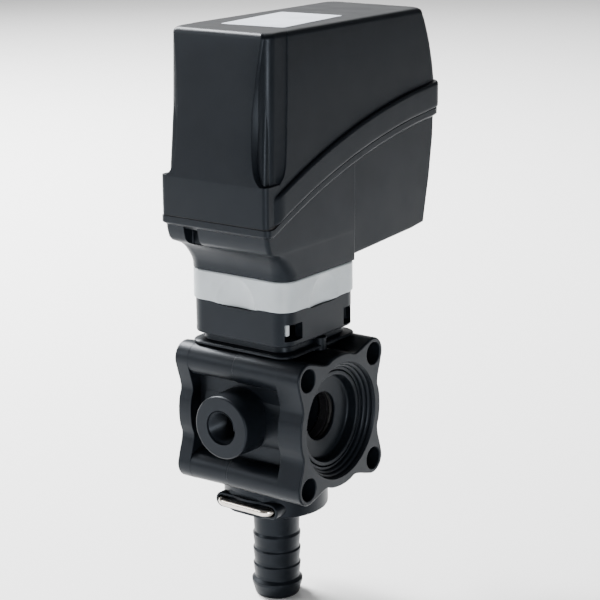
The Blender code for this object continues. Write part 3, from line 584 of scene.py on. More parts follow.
# ---------------------------------------------------------------- geometry nodes
class Pattern:
    """Geometry Nodes trees for what repeats or follows a path."""

    def __init__(self, painter: Painter) -> None:
        """Keeps the painter, whose materials the trees set."""
        self.painter = painter

    @staticmethod
    def tree(name: str, sizes: dict[str, str]) -> bpy.types.NodeTree:
        """An empty tree with geometry in and out and named inputs.

        Args:
            name: the tree's name.
            sizes: input names and their socket types.

        Returns:
            The tree.
        """
        tree = bpy.data.node_groups.new(name, "GeometryNodeTree")
        tree.interface.new_socket("Geometry", in_out="INPUT", socket_type="NodeSocketGeometry")
        for label, kind in sizes.items():
            tree.interface.new_socket(label, in_out="INPUT", socket_type=kind)
        tree.interface.new_socket("Geometry", in_out="OUTPUT", socket_type="NodeSocketGeometry")
        return tree

    @staticmethod
    def end(tree: bpy.types.NodeTree, last: bpy.types.NodeSocket, source: bpy.types.Node) -> None:
        """Closes a tree with Realize Instances and Set Material.

        Args:
            tree: the tree.
            last: the socket with its geometry.
            source: its group input, which has the material.
        """
        real = add_node(tree, "GeometryNodeRealizeInstances", Geometry=last)
        paint = add_node(tree, "GeometryNodeSetMaterial", Geometry=real.outputs["Geometry"],
                         Material=source.outputs["Material"])
        add_node(tree, "NodeGroupOutput", Geometry=paint.outputs["Geometry"])

    def run(self, host: bpy.types.Object, tree: bpy.types.NodeTree,
            values: dict[str, object]) -> bpy.types.Object:
        """Puts a tree on a host object and bakes it.

        Args:
            host: the object whose mesh goes in.
            tree: the tree.
            values: input values by name.

        Returns:
            The host, now with the tree's plain mesh.
        """
        modifier = host.modifiers.new(tree.name, "NODES")
        modifier.node_group = tree
        for item in tree.interface.items_tree:
            if item.item_type == "SOCKET" and item.in_out == "INPUT" and item.name in values:
                modifier[item.identifier] = values[item.name]
        return bake(host)

    def copies(self, name: str, sample: bpy.types.Object, places: Sequence[Sequence[float]],
               slot: str) -> bpy.types.Object:
        """Copies of a sample object at several places.

        Args:
            name: the piece's name.
            sample: the object that is copied, used up here.
            places: where each copy goes, in millimetres.
            slot: material slot.

        Returns:
            The piece.
        """
        tree = self.tree(f"{name}_copies", {"Sample": "NodeSocketObject", "Size": "NodeSocketFloat",
                                            "Material": "NodeSocketMaterial"})
        source = add_node(tree, "NodeGroupInput")
        info = add_node(tree, "GeometryNodeObjectInfo", Object=source.outputs["Sample"])
        spots = add_node(tree, "GeometryNodeInstanceOnPoints", Points=source.outputs["Geometry"],
                         Instance=info.outputs["Geometry"], Scale=source.outputs["Size"])
        self.end(tree, spots.outputs["Instances"], source)
        host = make(name, places, [])
        self.run(host, tree, {"Sample": sample, "Size": 1.0, "Material": self.painter.material(slot)})
        bpy.data.objects.remove(sample)
        return host

    def wire(self, name: str, path: Sequence[Sequence[float]], radius: float, bend: float,
             slot: str) -> bpy.types.Object:
        """A round wire along a path with rounded bends.

        Args:
            name: the piece's name.
            path: the corners of its centreline in millimetres.
            radius: the wire's radius.
            bend: centreline radius of each bend.
            slot: material slot.

        Returns:
            The piece.
        """
        tree = self.tree(f"{name}_sweep", {"Wire Radius": "NodeSocketFloat",
                                           "Bend Radius": "NodeSocketFloat",
                                           "Material": "NodeSocketMaterial"})
        source = add_node(tree, "NodeGroupInput")
        line = add_node(tree, "GeometryNodeMeshToCurve", Mesh=source.outputs["Geometry"])
        bends = add_node(tree, "GeometryNodeFilletCurve", mode="POLY", Curve=line.outputs["Curve"],
                         Count=12,
                         Radius=source.outputs["Bend Radius"])
        shape = add_node(tree, "GeometryNodeCurvePrimitiveCircle", Resolution=24,
                         Radius=source.outputs["Wire Radius"])
        sweep = add_node(tree, "GeometryNodeCurveToMesh", Curve=bends.outputs["Curve"],
                         Profile_Curve=shape.outputs["Curve"], Fill_Caps=True)
        self.end(tree, sweep.outputs["Mesh"], source)
        mesh = bpy.data.meshes.new(name)
        mesh.from_pydata([[c * MM for c in p] for p in path], [(i, i + 1) for i in range(len(path) - 1)],
                         [])
        host = bpy.data.objects.new(name, mesh)
        bpy.context.scene.collection.objects.link(host)
        return self.run(host, tree, {"Wire Radius": radius * MM, "Bend Radius": bend * MM,
                                     "Material": self.painter.material(slot)})

    def thread(self, name: str, radius: float, pitch: float, turns: float, depth: float,
               start: Sequence[float], slot: str) -> bpy.types.Object:
        """The helical ridge of an internal thread along Y.

        Args:
            name: the piece's name.
            radius: radius of the ridge's root.
            pitch: distance between turns.
            turns: number of turns.
            depth: height of the ridge.
            start: where the thread starts on its axis.
            slot: material slot.

        Returns:
            The piece.
        """
        tree = self.tree(f"{name}_helix", {"Radius": "NodeSocketFloat", "Length": "NodeSocketFloat",
                                           "Turns": "NodeSocketFloat", "Depth": "NodeSocketFloat",
                                           "Start": "NodeSocketVector", "Material": "NodeSocketMaterial"})
        source = add_node(tree, "NodeGroupInput")
        root = source.outputs["Radius"]
        helix = add_node(tree, "GeometryNodeCurveSpiral", Resolution=64, Rotations=source.outputs["Turns"],
                         Start_Radius=root, End_Radius=root, Height=source.outputs["Length"])
        upright = add_node(tree, "GeometryNodeSetCurveNormal", mode="Z_UP", Curve=helix.outputs["Curve"])
        shape = add_node(tree, "GeometryNodeCurvePrimitiveCircle", Resolution=4,
                         Radius=source.outputs["Depth"])
        sweep = add_node(tree, "GeometryNodeCurveToMesh", Curve=upright.outputs["Curve"],
                         Profile_Curve=shape.outputs["Curve"], Fill_Caps=True)
        shift = add_node(tree, "GeometryNodeTransform", Geometry=sweep.outputs["Mesh"],
                         Rotation=(-math.pi / 2, 0, 0), Translation=source.outputs["Start"])
        self.end(tree, shift.outputs["Geometry"], source)
        host = make(name, [(0, 0, 0)], [])
        return self.run(host, tree, {"Radius": radius * MM, "Length": pitch * turns * MM, "Turns": turns,
                                     "Depth": depth * MM, "Start": [c * MM for c in start],
                                     "Material": self.painter.material(slot)})


class Assembly:
    """What every sub-assembly shares: a painter, the patterns and the way a piece is handed over."""

    def __init__(self, painter: Painter, pattern: Pattern) -> None:
        """Keeps the shared tools."""
        self.painter, self.pattern = painter, pattern

    def hand_over(self, piece: bpy.types.Object, name: str, body: str, slot: str,
                  nodes: Sequence[str] = ()) -> bpy.types.Object:
        """Finishes a piece: smooths, paints and attaches it.

        Args:
            piece: the modelled object.
            name: its final name.
            body: the CAD body that it rides on.
            slot: its material slot.
            nodes: CAD nodes that it stands for.

        Returns:
            The piece.
        """
        smooth(piece)
        piece.name = piece.data.name = name
        piece.data.materials.clear()
        piece.data.materials.append(self.painter.material(slot))
        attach(piece, body)
        if nodes:
            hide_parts(*nodes)
        LOG.info("%s: %d faces on %s", name, len(piece.data.polygons), body)
        return piece


# ---------------------------------------------------------------- valve body
@dataclass
class ValveBody:
    """The moulded manifold body with both flanges, the gauge boss and the clip collar."""

    tools: Assembly
    right: float = 32.57
    left: float = -28.0
    pocket: float = 21.5
    bolt: float = 22.0
    bolt_hole: float = 4.5
    ear: float = 6.4
    ear_left: float = 6.0
    mould_line: tuple[float, float] = (-3.1, 0.6)
    web: tuple[float, float] = (0.62, 0.93)
    disc: float = 27.0
    barrel: float = 23.0
    chamber: float = 19.5
    socket: float = 22.8
    socket_depth: float = 5.1
    gauge_z: float = 0.4
    gauge_radius: float = 12.6
    gauge_face: float = -34.95
    collar: float = 21.0
    collar_bottom: float = -40.5
    spigot: float = 14.3
    clip_z: float = -36.5
    clip_x: float = 12.3

    def flange(self) -> list[Point]:
        """The flange's outline: a disc with an ear round each tie bolt.

        Returns:
            The closed outline in Y and Z.
        """
        corners: list[Point] = []
        for quarter in range(4):
            turn = Matrix.Rotation(quarter * math.pi / 2, 2)
            waist = [(25.35, 8.6), (25.25, 9.8), (25.45, 11.3), (26.05, 13.6), (26.95, 16.2)]
            shape = arc((0, 0), self.disc, -13, 13, 8) + waist
            shape += arc((self.bolt, self.bolt), self.ear, -21, 111, 16)
            shape += [(b, a) for a, b in reversed(waist)]
            corners += [tuple(turn @ Vector(p)) for p in shape]
        return corners

    def ridges(self) -> list[bpy.types.Object]:
        """The four bolt tubes between the flanges, each a little stouter right of the mould line."""
        parts = []
        thick, left, right = self.ear - 0.01, self.left + 1, self.right - 1
        near, far = self.web
        for y in (-self.bolt, self.bolt):
            for z, split in zip((-self.bolt, self.bolt), self.mould_line):
                slim = [(0, left), (thick, left), (self.ear_left, split + 0.2), (0, split + 0.2)]
                stout = [(0, split), (self.ear_left + 0.1, split), (self.ear - 0.07, split + 0.25),
                         (thick, right), (0, right)]
                parts += [turned(profile, "X", (0, y, z)) for profile in (slim, stout)]
                reach = self.pocket + 2
                parts.append(block((-reach, near * y, near * z), (reach, far * y, far * z), 1.0))
        return parts

    def blank(self) -> bpy.types.Object:
        """The body before its bores."""
        outline = self.flange()
        body = prism(outline, self.pocket, self.right, "X", 0.7, "valve_body", 0.15)
        parts = [prism(outline, self.left, -self.pocket, "X", 0.15, foot=0.7)]
        parts.append(rod(self.barrel, -self.pocket - 1, self.pocket + 1, "X", steps=96))
        core = square(21.0, 2.5)
        parts.append(prism(core, -self.pocket - 1.5, self.pocket + 1.5, "X"))
        parts += self.ridges()
        skirt = soften([(0, -15, 0), (self.collar, -15, 0), (self.collar, self.collar_bottom, 0.9),
                        (0, self.collar_bottom, 0)])
        parts.append(turned(skirt, steps=96))
        boss = soften([(0, -18, 0), (self.gauge_radius + 0.4, -18, 0),
                       (self.gauge_radius, self.gauge_face, 0.8),
                       (0, self.gauge_face, 0)])
        parts.append(turned(boss, "Y", (0, 0, self.gauge_z), 96))
        parts += [rod(4.2, 18, 28.4, centre=(x, y, 0), edge=0.4) for x, y in four(SCREW)]
        parts.append(rod(11.5, 18, 28.4, edge=0.4, steps=64))
        parts.append(self.pad(3.1, -20.0))
        return join(body, *parts)

    def pad(self, radius: float, front: float, edge: float = 0.6) -> bpy.types.Object:
        """A long round-ended pad behind the clip's bar, from its front back into the collar.

        Args:
            radius: radius of its round ends.
            front: Y of its face.
            edge: radius of the edge round its face.

        Returns:
            The linked object.
        """
        reach = self.clip_x
        outline = arc((reach, self.clip_z), radius, -90, 90, 20) + arc((-reach, self.clip_z), radius, 90,
                                                                       270, 20)
        return prism(outline, front, -10, "Y", 0.0, foot=edge)

    def bore(self) -> bpy.types.Object:
        """Cutter for the ball chamber and the stepped socket in the right face."""
        floor = self.right - self.socket_depth
        corners = [(0, self.left - 1, 0), (self.chamber + 1.0, self.left - 1, 0),
                   (self.chamber, self.left + 0.5, 0)]
        corners += [(self.chamber, floor, 0.25)]
        for i, radius in enumerate((20.6, 21.7, self.socket)):
            low = floor + i * self.socket_depth / 3.4
            corners += [(radius, low, 0.25), (radius, low + 0.9, 0.2), (radius + 0.35, low + 1.3, 0.2)]
        corners += [(self.socket + 0.2, self.right - 0.6, 0), (self.socket + 0.8, self.right + 0.2, 0)]
        corners += [(self.socket + 0.8, self.right + 1, 0), (0, self.right + 1, 0)]
        return turned(soften(corners, steps=2), "X", steps=128)

    def port(self) -> bpy.types.Object:
        """Cutter for the gauge port."""
        face = self.gauge_face
        corners = [(0, face - 1, 0), (7.6, face - 1, 0), (6.9, face + 0.1, 0), (6.55, face + 1.0, 0.1)]
        corners += [(6.55, -23.8, 0), (3.5, -23.2, 0), (3.5, 0, 0), (0, 0, 0)]
        return turned(soften(corners, steps=2), "Y", (0, 0, self.gauge_z), 64)

    def cutters(self) -> list[bpy.types.Object]:
        """Everything that is bored or pocketed out of the blank."""
        tools = [self.bore(), self.port(), rod(8.0, 0, 29, steps=64)]
        socket = [(0, 0), (12.7, 0), (12.7, -20.9), (9.6, -20.9), (9.6, -22.4), (self.spigot, -22.4)]
        socket += [(self.spigot, self.collar_bottom + 0.6), (self.spigot + 0.8, self.collar_bottom - 0.2)]
        socket += [(self.spigot + 0.8, self.collar_bottom - 1), (0, self.collar_bottom - 1)]
        tools.append(turned(socket, steps=96))
        tools += [rod(self.bolt_hole, self.left, self.right, "X", (0, y, z), -0.45, 64)
                  for y, z in four(self.bolt)]
        flat = block((-16.6, -30, self.collar_bottom - 1), (16.6, -19.4, -31.4), 0.0)
        tools.append(cut(flat, self.pad(3.11, -22.3, 0.0)))
        slot = self.pad(2.15, -23.0, 0.0)
        tools.append(cut(slot, block((-25, -18.8, -45), (25, -5, -25))))
        tools += [rod(2.1, -23, 30, "Y", (x, 0, self.clip_z), steps=32) for x in (-self.clip_x,
                                                                                  self.clip_x)]
        tools += [rod(1.8, 20.5, 29, centre=(x, y, 0), steps=24) for x, y in four(SCREW)]
        tools.append(block((-self.pocket, -40, -15.5), (-18.0, -20.6, 15.5)))
        return tools

    def build(self) -> None:
        """Makes the body and its gauge thread."""
        body = cut(self.blank(), *self.cutters())
        self.tools.hand_over(body, "valve_body_skin", "housing", "black_plastic", ["valve_body"])
        thread = self.tools.pattern.thread("gauge_thread", 6.55, 1.6, 6.8, 0.85,
                                           (0, self.gauge_face + 0.7, self.gauge_z), "black_plastic")
        self.tools.hand_over(thread, "gauge_thread", "housing", "black_plastic")
        for side, name in ((1, "right"), (-1, "left")):
            corners = [(9.6, 20.9, 0.3), (12.7, 20.9, 0.2), (12.7, 16.0, 0.2), (19.2, 16.0, 0.4),
                       (19.2, 27.5, 0.4), (17.4, 27.5, 0.5), (16.8, 23.4, 1.0), (9.6, 22.4, 0.4)]
            profile = [(r, side * x) for r, x in soften(corners, closed=True, steps=3)]
            ring = turned(profile, "X", steps=96)
            self.tools.hand_over(ring, f"retainer_{name}", "housing", "black_plastic",
                                 [f"seat_retainer_{name}"])


# ---------------------------------------------------------------- hose tail and clip
@dataclass
class HoseConnection:
    """The barbed hose tail and the wire fork that holds it."""

    tools: Assembly
    bore: float = 7.5
    end: float = -80.0
    root: float = 9.2
    barbs: tuple[tuple[float, float, float], ...] = ((-53.7, 9.77, -58.3), (-60.3, 9.76, -64.9),
                                                     (-66.9, 9.72, -71.1))
    wire: float = 1.6
    leg: float = 12.3
    bar: float = -21.6
    level: float = -36.5

    def tail(self) -> None:
        """Makes the turned tail: spigot with its seal groove and clip groove, then the barbs."""
        corners = [(self.bore, self.end, 0.3), (self.bore, -30.0, 1.0), (9.5, -25.0, 1.0),
                   (10.5, -23.0, 0.3)]
        corners += [(13.2, -23.0, 0.3), (14.0, -24.0, 0.3), (14.0, -26.8, 0.15), (12.0, -26.8, 0.15)]
        corners += [(12.0, -29.3, 0.15), (14.0, -29.3, 0.15), (14.0, -34.5, 0.3), (10.4, -34.5, 0.3)]
        corners += [(10.4, -38.5, 0.3), (14.0, -38.5, 0.3), (14.0, -40.3, 0.4), (9.6, -40.6, 0.6)]
        corners += [(self.root, -52.6, 0.6)]
        for top, crest, bottom in self.barbs:
            corners += [(crest, top, 0.28), (self.root + 0.02, bottom, 0.5), (self.root, bottom - 1.4, 0.4)]
        corners += [(10.4, -73.7, 0.3), (10.3, -74.9, 0.3), (9.1, -79.2, 0.5), (8.6, self.end, 0.4)]
        tail = turned(soften(corners, closed=True, steps=4), steps=96)
        self.tools.hand_over(tail, "hose_tail_skin", "tail", "black_plastic", ["hose_tail"])

    def fork(self) -> None:
        """Makes the wire fork."""
        z = self.level
        path = [(-self.leg, 20.5, z), (-self.leg, self.bar, z), (self.leg, self.bar, z),
                (self.leg, 20.5, z)]
        wire = self.tools.pattern.wire("fork_wire", path, self.wire, 3.2, "stainless")
        self.tools.hand_over(wire, "fork_wire", "clip", "stainless", ["fork_clip"])

    def build(self) -> None:
        """Makes both."""
        self.tail()
        self.fork()


# ---------------------------------------------------------------- neck
@dataclass
class Neck:
    """Bonnet plate, screws, mounting base and the grey lock ring."""

    tools: Assembly
    half: float = 24.3
    corner: float = 7.0
    ring_low: float = 46.9
    ring_top: float = 58.8
    scoop_half: float = 9.4
    scoop_top: float = 57.9
    scoop_depth: float = 1.9
    dip: float = 1.1
    base_low: float = 33.0
    plate_low: float = 28.7
    plate_top: float = 30.5

    def bonnet(self) -> None:
        """Makes the bonnet plate with its posts and four socket screws."""
        rows = ((23.6, 28.70), (24.2, 28.85), (24.2, 29.5), (23.8, 29.9), (22.6, 30.1), (21.2, 30.3),
                (21.0, 30.7),
                (20.9, 32.6), (20.6, 32.7), (19.4, 32.7), (19.2, 32.4), (19.2, 30.5))
        rings = [[(x, y, z) for x, y in square(half, 6.0 * half / 24.2)] for half, z in rows]
        plate = loft("bonnet", rings)
        for x in (-22, 22):
            join(plate, rod(2.8, 27.3, 32.7, centre=(x, 0, 0), edge=0.4, steps=32))
        cut(plate, rod(5.3, 20, 33, steps=48))
        cut(plate, *[rod(1.8, 20, 33, centre=(x, y, 0), steps=24) for x, y in four(SCREW)])
        join(plate, cut(rod(7.7, 23.6, 29.5, steps=48), rod(5.3, 20, 33, steps=48)))
        self.tools.hand_over(plate, "bonnet_skin", "housing", "black_plastic", ["bonnet_plate"])
        head = turned(soften([(0, 21.2, 0), (1.5, 21.2, 0.2), (1.5, 30.8, 0), (2.9, 30.8, 0.1),
                              (2.9, 32.6, 0.35), (0, 32.6, 0)]), steps=32, name="screw_sample")
        cut(head, prism(arc((0, 0), 1.4, 0, 300, 5), 31.4, 33.0))
        places = [(x, y, 0) for x, y in four(SCREW)]
        screws = self.tools.pattern.copies("bonnet_screws", head, places, "stainless")
        nodes = [f"bonnet_screw_{i}" for i in range(1, 5)]
        self.tools.hand_over(screws, "bonnet_screws", "housing", "stainless", nodes)

    def base(self) -> None:
        """Makes the mounting base: a rounded square cup with a snap window at each side corner."""
        low = self.base_low
        rows = [(22.9, low), (23.4, low + 0.3), (23.6, low + 0.9), (23.6, low + 8), (23.6, 46.0),
                (20.2, 46.0),
                (20.2, low + 8), (20.2, low + 2.5)]
        base = self.wavy(rows, -0.15, "base")
        cut(base, rod(7.2, low - 1, 38, steps=48))
        for side in (-1, 1):
            for y0, y1, z0, z1 in ((-21.9, -13.2, 35.3, 41.9), (14.2, 21.8, 34.0, 41.0)):
                cut(base, block((side * 19.0, y0, z0), (side * 24.5, y1, z1), 0.25))
        self.tools.hand_over(base, "mounting_base_skin", "housing", "black_plastic", ["mounting_base"])

    def bump(self, x: float, y: float, z: float) -> float:
        """How deep the finger scoops are at a point on the ring, from 0 to 1.

        Args:
            x: across.
            y: along.
            z: height.

        Returns:
            The depth as a share of the deepest.
        """
        along = x if abs(y) > abs(x) else y
        height = (z - self.ring_low + 1.2) / (self.scoop_top - self.ring_low + 1.2)
        reach = (along / self.scoop_half) ** 2 + max(0.0, height) ** 2
        return max(0.0, 1 - reach) ** 0.6 if abs(abs(x) - abs(y)) > 2 else 0.0

    def edge(self, x: float, y: float) -> float:
        """How far the parting edge dips below a scoop at a point."""
        along = x if abs(y) > abs(x) else y
        return self.dip / (1 + math.exp((abs(along) - self.scoop_half + 0.5) * 1.2))

    def outline(self, half: float, steps: int = 60) -> list[Point]:
        """A rounded square with evenly spaced points, dense enough to carry the scoops.

        Args:
            half: half its width.
            steps: pieces in each straight side.

        Returns:
            The closed outline.
        """
        corners = square(half, self.corner + half - self.half, 10)
        points: list[Point] = []
        for i, start in enumerate(corners):
            end = corners[(i + 1) % len(corners)]
            length = math.dist(start, end)
            pieces = steps if length > 10 else 1
            points += [(start[0] + (end[0] - start[0]) * k / pieces,
                        start[1] + (end[1] - start[1]) * k / pieces)
                       for k in range(pieces)]
        return points

    def wavy(self, rows: Sequence[tuple[float, float]], lift: float, name: str) -> bpy.types.Object:
        """A rounded square cup whose rim follows the ring's parting edge.

        Args:
            rows: half width and height of each level.
            lift: how far the rim lies above the parting edge.
            name: the object's name.

        Returns:
            The linked object.
        """
        rings = [[(x, y, (self.ring_low + lift - self.edge(x, y)) if z >= 46.0 else z)
                  for x, y in self.outline(half)] for half, z in rows]
        return loft(name, rings)

    def ring(self) -> None:
        """Makes the lock ring, scooped for the fingers on each face, with its four snap hooks."""
        rings, count = [], 26
        plan = self.outline(self.half)
        for k in range(count + 1):
            z = self.ring_low + (self.ring_top - self.ring_low) * k / count
            row = []
            for x, y in inset(plan, 0.35) if k in (0, count) else plan:
                low = self.ring_low - self.edge(x, y)
                level = low + (self.ring_top - low) * k / count
                shrink = 1 - self.scoop_depth * self.bump(x, y, z) / self.half
                row.append((x, y * shrink, level) if abs(y) > abs(x) else (x * shrink, y, level))
            rings.append(row)
        rings += [[(x * 0.89, y * 0.89, z) for x, y in plan] for z in (self.ring_top, 46.3)]
        ring = loft("ring", rings, closed=True)
        for side in (-1, 1):
            for y0, y1 in ((-20.7, -18.7), (14.5, 15.9)):
                merge(ring, block((side * 19.8, y0, 37.2), (side * 21.6, y1, 49.0), 0.3))
        self.tools.hand_over(ring, "lock_ring_skin", "housing", "grey_plastic", ["lock_ring"])

    def build(self) -> None:
        """Makes the neck's pieces."""
        self.bonnet()
        self.base()
        self.ring()


# ---------------------------------------------------------------- actuator head
@dataclass(frozen=True)
class Row:
    """One level of the cover: its height, half width, front and back."""

    z: float
    half: float
    front: float
    back: float


@dataclass
class Head:
    """The actuator head: lower housing, cover with its skirt, gasket, label and screws."""

    tools: Assembly
    top: float = 153.25
    seam_level: float = 82.0
    seam_points: tuple[Point, ...] = ((-29.4, 83.8), (28.3, 104.0), (74.7, 111.8))
    ledge: float = 97.7
    skirt_height: float = 10.6
    skirt_half: float = 26.45
    skirt_front: float = -33.0
    skirt_back: float = 82.1
    lip_half: float = 25.9
    wall: float = 2.2
    middle: float = 20.0
    front_corner: float = 2.0
    back_corner: float = 4.6
    column: float = 4.5
    recess_edge: float = 0.45
    crown_foot: float = 150.9
    crown_reach: float = 2.4
    rows: tuple[Row, ...] = (
        Row(78, 25.2, -37.2, 81.0), Row(97, 25.2, -37.2, 81.0), Row(110, 24.85, -36.1, 81.0),
        Row(122, 24.5, -35.1, 80.9), Row(130, 24.35, -34.4, 79.7), Row(137, 24.2, -33.8, 78.1),
        Row(143, 24.05, -33.3, 76.2), Row(148, 23.9, -32.85, 74.2), Row(150.9, 23.8, -32.5, 72.7))

    def seam(self, y: float) -> float:
        """Height of the seam at y: level at the front, then a long arc to the back.

        Args:
            y: the place.

        Returns:
            The height.
        """
        (y0, z0), (y1, z1), (y2, z2) = self.seam_points
        e, f = (y0**2 - y1**2 + z0**2 - z1**2) / 2, (y0**2 - y2**2 + z0**2 - z2**2) / 2
        det = (y0 - y1) * (z0 - z2) - (z0 - z1) * (y0 - y2)
        cy, cz = (e * (z0 - z2) - (z0 - z1) * f) / det, ((y0 - y1) * f - e * (y0 - y2)) / det
        radius = math.hypot(y0 - cy, z0 - cz)
        return max(self.seam_level, cz + math.sqrt(radius**2 - (y - cy) ** 2))

    def at(self, z: float) -> Row:
        """The cover's sizes at any height.

        Args:
            z: the height.

        Returns:
            The sizes there.
        """
        for low, high in zip(self.rows, self.rows[1:]):
            if z <= high.z:
                t = max(0.0, (z - low.z) / (high.z - low.z))
                return Row(z, *(getattr(low, k) + (getattr(high, k) - getattr(low, k)) * t
                                for k in ("half", "front", "back")))
        return self.rows[-1]

    def recess(self, z: float) -> Recess:
        """The corner recess at a height.

        Args:
            z: the height.

        Returns:
            Its edge on the front face, its edge on the side face, the column's half width and front.
        """
        front_edge = self.table(z, ((97.7, 22.6), (98.4, 21.6), (100.4, 20.0), (104, 18.8), (111, 18.0),
                                    (125, 17.7), (140, 19.2), (151, 20.6)))
        side_edge = self.table(z, ((97.7, -29.2), (98.4, -28.2), (100, -26.2), (103, -24.8), (110, -23.9),
                                   (128, -22.5), (148, -21.3), (151, -21.2)))
        half = self.table(z, ((97.7, 23.9), (103, 23.8), (143, 23.35), (151, 23.3)))
        front = self.table(z, ((97.7, -33.9), (103, -33.7), (143, -32.5), (151, -32.3)))
        return front_edge, side_edge, half, front

    @staticmethod
    def table(z: float, rows: Sequence[Point]) -> float:
        """Straight-line lookup.

        Args:
            z: the height.
            rows: heights and values, rising.

        Returns:
            The value at z.
        """
        if z <= rows[0][0]:
            return rows[0][1]
        for (z0, v0), (z1, v1) in zip(rows, rows[1:]):
            if z <= z1:
                return v0 + (v1 - v0) * (z - z0) / (z1 - z0)
        return rows[-1][1]

    def half_outline(self, row: Row, recess: Recess | None) -> list[Point]:
        """The right half of the cover's outline, from the middle of the front to the middle of the back.

        Args:
            row: the level's sizes.
            recess: the corner recess, or None below its ledge.

        Returns:
            The points, always the same number.
        """
        edge, front, half = self.recess_edge, row.front, row.half
        fx, sy, ch, cf, r = 22.6, -29.2, half, front, self.front_corner
        if recess is not None:
            fx, sy, ch, cf = recess
            ch, cf, r = min(ch, half), max(cf, front), self.column
        step_front, step_side = cf - front, half - ch
        points = [(0.0, front), (8.0, front), (14.0, front)]
        bow = min(edge, step_front)
        points += [(fx - edge, front), (fx - edge * 0.4, front + bow * 0.15), (fx, front + bow)]
        cx, cy = ch - r, cf + r
        begin = math.degrees(math.asin(min(1.0, max(0.0, (fx + 0.35 - cx) / r))))
        finish = math.degrees(math.acos(min(1.0, max(0.0, (cy - sy + 0.35) / r))))
        column = arc((cx, cy), r, 270 + begin, 270 + finish, 14)
        points += [(fx + (column[0][0] - fx) * 0.6, front + bow + (column[0][1] - front - bow) * 0.6)]
        points += column
        bow = min(edge, step_side)
        side_x = half - bow
        points += [(column[-1][0] + (side_x - column[-1][0]) * 0.4,
                    column[-1][1] + (sy - column[-1][1]) * 0.4)]
        points += [(side_x, sy), (half - bow * 0.15, sy + edge * 0.5), (half, sy + edge)]
        points += [(half, -10.0 + 80.0 * k / 8) for k in range(8)]
        b, r = row.back, self.back_corner
        points += arc((half - r, b - r), r, 0, 90, 10)
        points += [(8.0, b), (0.0, b)]
        return points

    def level(self, front_z: float, with_recess: bool) -> Ring:
        """One ring of the cover's skin.

        Args:
            front_z: its height at the front; towards the back it rises with the seam.
            with_recess: True above the ledge.

        Returns:
            The closed ring.
        """
        back_z = self.table(front_z, ((82, 112.2), (98, 119), (104, 121.5), (112, 125), (125, 131),
                                      (137, 139), (143, 143.5), (148, 148), (154, 154)))
        weight = (back_z - front_z) / (112.2 - 82)
        recess = self.recess(front_z) if with_recess else None
        shape = self.half_outline(self.at(front_z), recess)
        rows: Ring = []
        for i, (_, y) in enumerate(shape):
            ramp = min(1.0, max(0.0, (y + 28.5) / 12.0))
            flat = min(1.0, max(0.0, (front_z - self.seam_level) / 12.0))
            rise = (self.seam(y) - self.seam_level) * (1 - flat + flat * ramp * ramp * (3 - 2 * ramp))
            z = front_z + weight * rise
            rows.append((*self.half_outline(self.at(z), recess)[i], z))
        mirrored = [(-x, y, z) for x, y, z in rows[-2:0:-1]]
        return rows + mirrored

    def drawn_in(self, ring: Ring, across: float, along: float, z: float | None = None) -> Ring:
        """A ring drawn in towards the cover's middle.

        Args:
            ring: the ring.
            across: factor in X.
            along: factor in Y.
            z: its new height, or None to keep each point's own.

        Returns:
            The new ring.
        """
        return [(x * across, self.middle + (y - self.middle) * along, h if z is None else z)
                for x, y, h in ring]

    def crown(self, last: Ring) -> list[Ring]:
        """The rounded top edge: a ring drawn in over a quarter round.

        Args:
            last: the ring at the crown's foot.

        Returns:
            The rings above it.
        """
        result = []
        for k in range(1, 8):
            a = math.pi / 2 * k / 7
            pull = self.crown_reach * (1 - math.cos(a))
            z = self.crown_foot + (self.top - self.crown_foot) * math.sin(a)
            result.append(self.drawn_in(last, 1 - pull / 23.8, 1 - pull * 1.15 / 52.5, z))
        return result

    def cover(self) -> None:
        """Makes the cover: outer skin with its corner recesses, inner skin and the skirt band."""
        outer = [self.level(z, False) for z in (82.3, 84.0, 87.0, 90.0, 94.0, 97.3, self.ledge)]
        outer += [self.level(z, True) for z in (self.ledge, 97.9, 98.2, 98.6, 99.2, 100, 101, 102.5, 104.5,
                                                108, 112,
                                                118, 124, 130, 136, 141, 145, 148, self.crown_foot)]
        outer += self.crown(outer[-1])
        outer.append(self.drawn_in(outer[-1], 0.9, 0.9, self.top))
        inner = [self.drawn_in(self.level(z, False), 1 - self.wall / 25.0, 1 - self.wall / 57.0)
                 for z in (82.3, 97.0, 112.0, 130.0, 145.0, 148.4)]
        inner.append(self.drawn_in(inner[-1], 0.9, 0.94, self.top - self.wall))
        cover = merge(loft("cover", outer), loft("room", inner), self.skirt())
        self.tools.hand_over(cover, "cover_skin", "housing", "black_plastic", ["cover"])

    def path(self, half: float, front: float, back: float, corner: float) -> list[Point]:
        """A run along both sides and the back, from the left front end to the right front end.

        Args:
            half: half width.
            front: its front Y.
            back: its back Y.
            corner: radius of the back corners.

        Returns:
            The open run.
        """
        side = [(-half, front + (60.0 - front) * k / 30) for k in range(31)]
        run = side + arc((-half + corner, back - corner), corner, 180, 90, 10)
        run += arc((half - corner, back - corner), corner, 90, 0, 10) + [(-x, y) for x, y in reversed(side)]
        return run

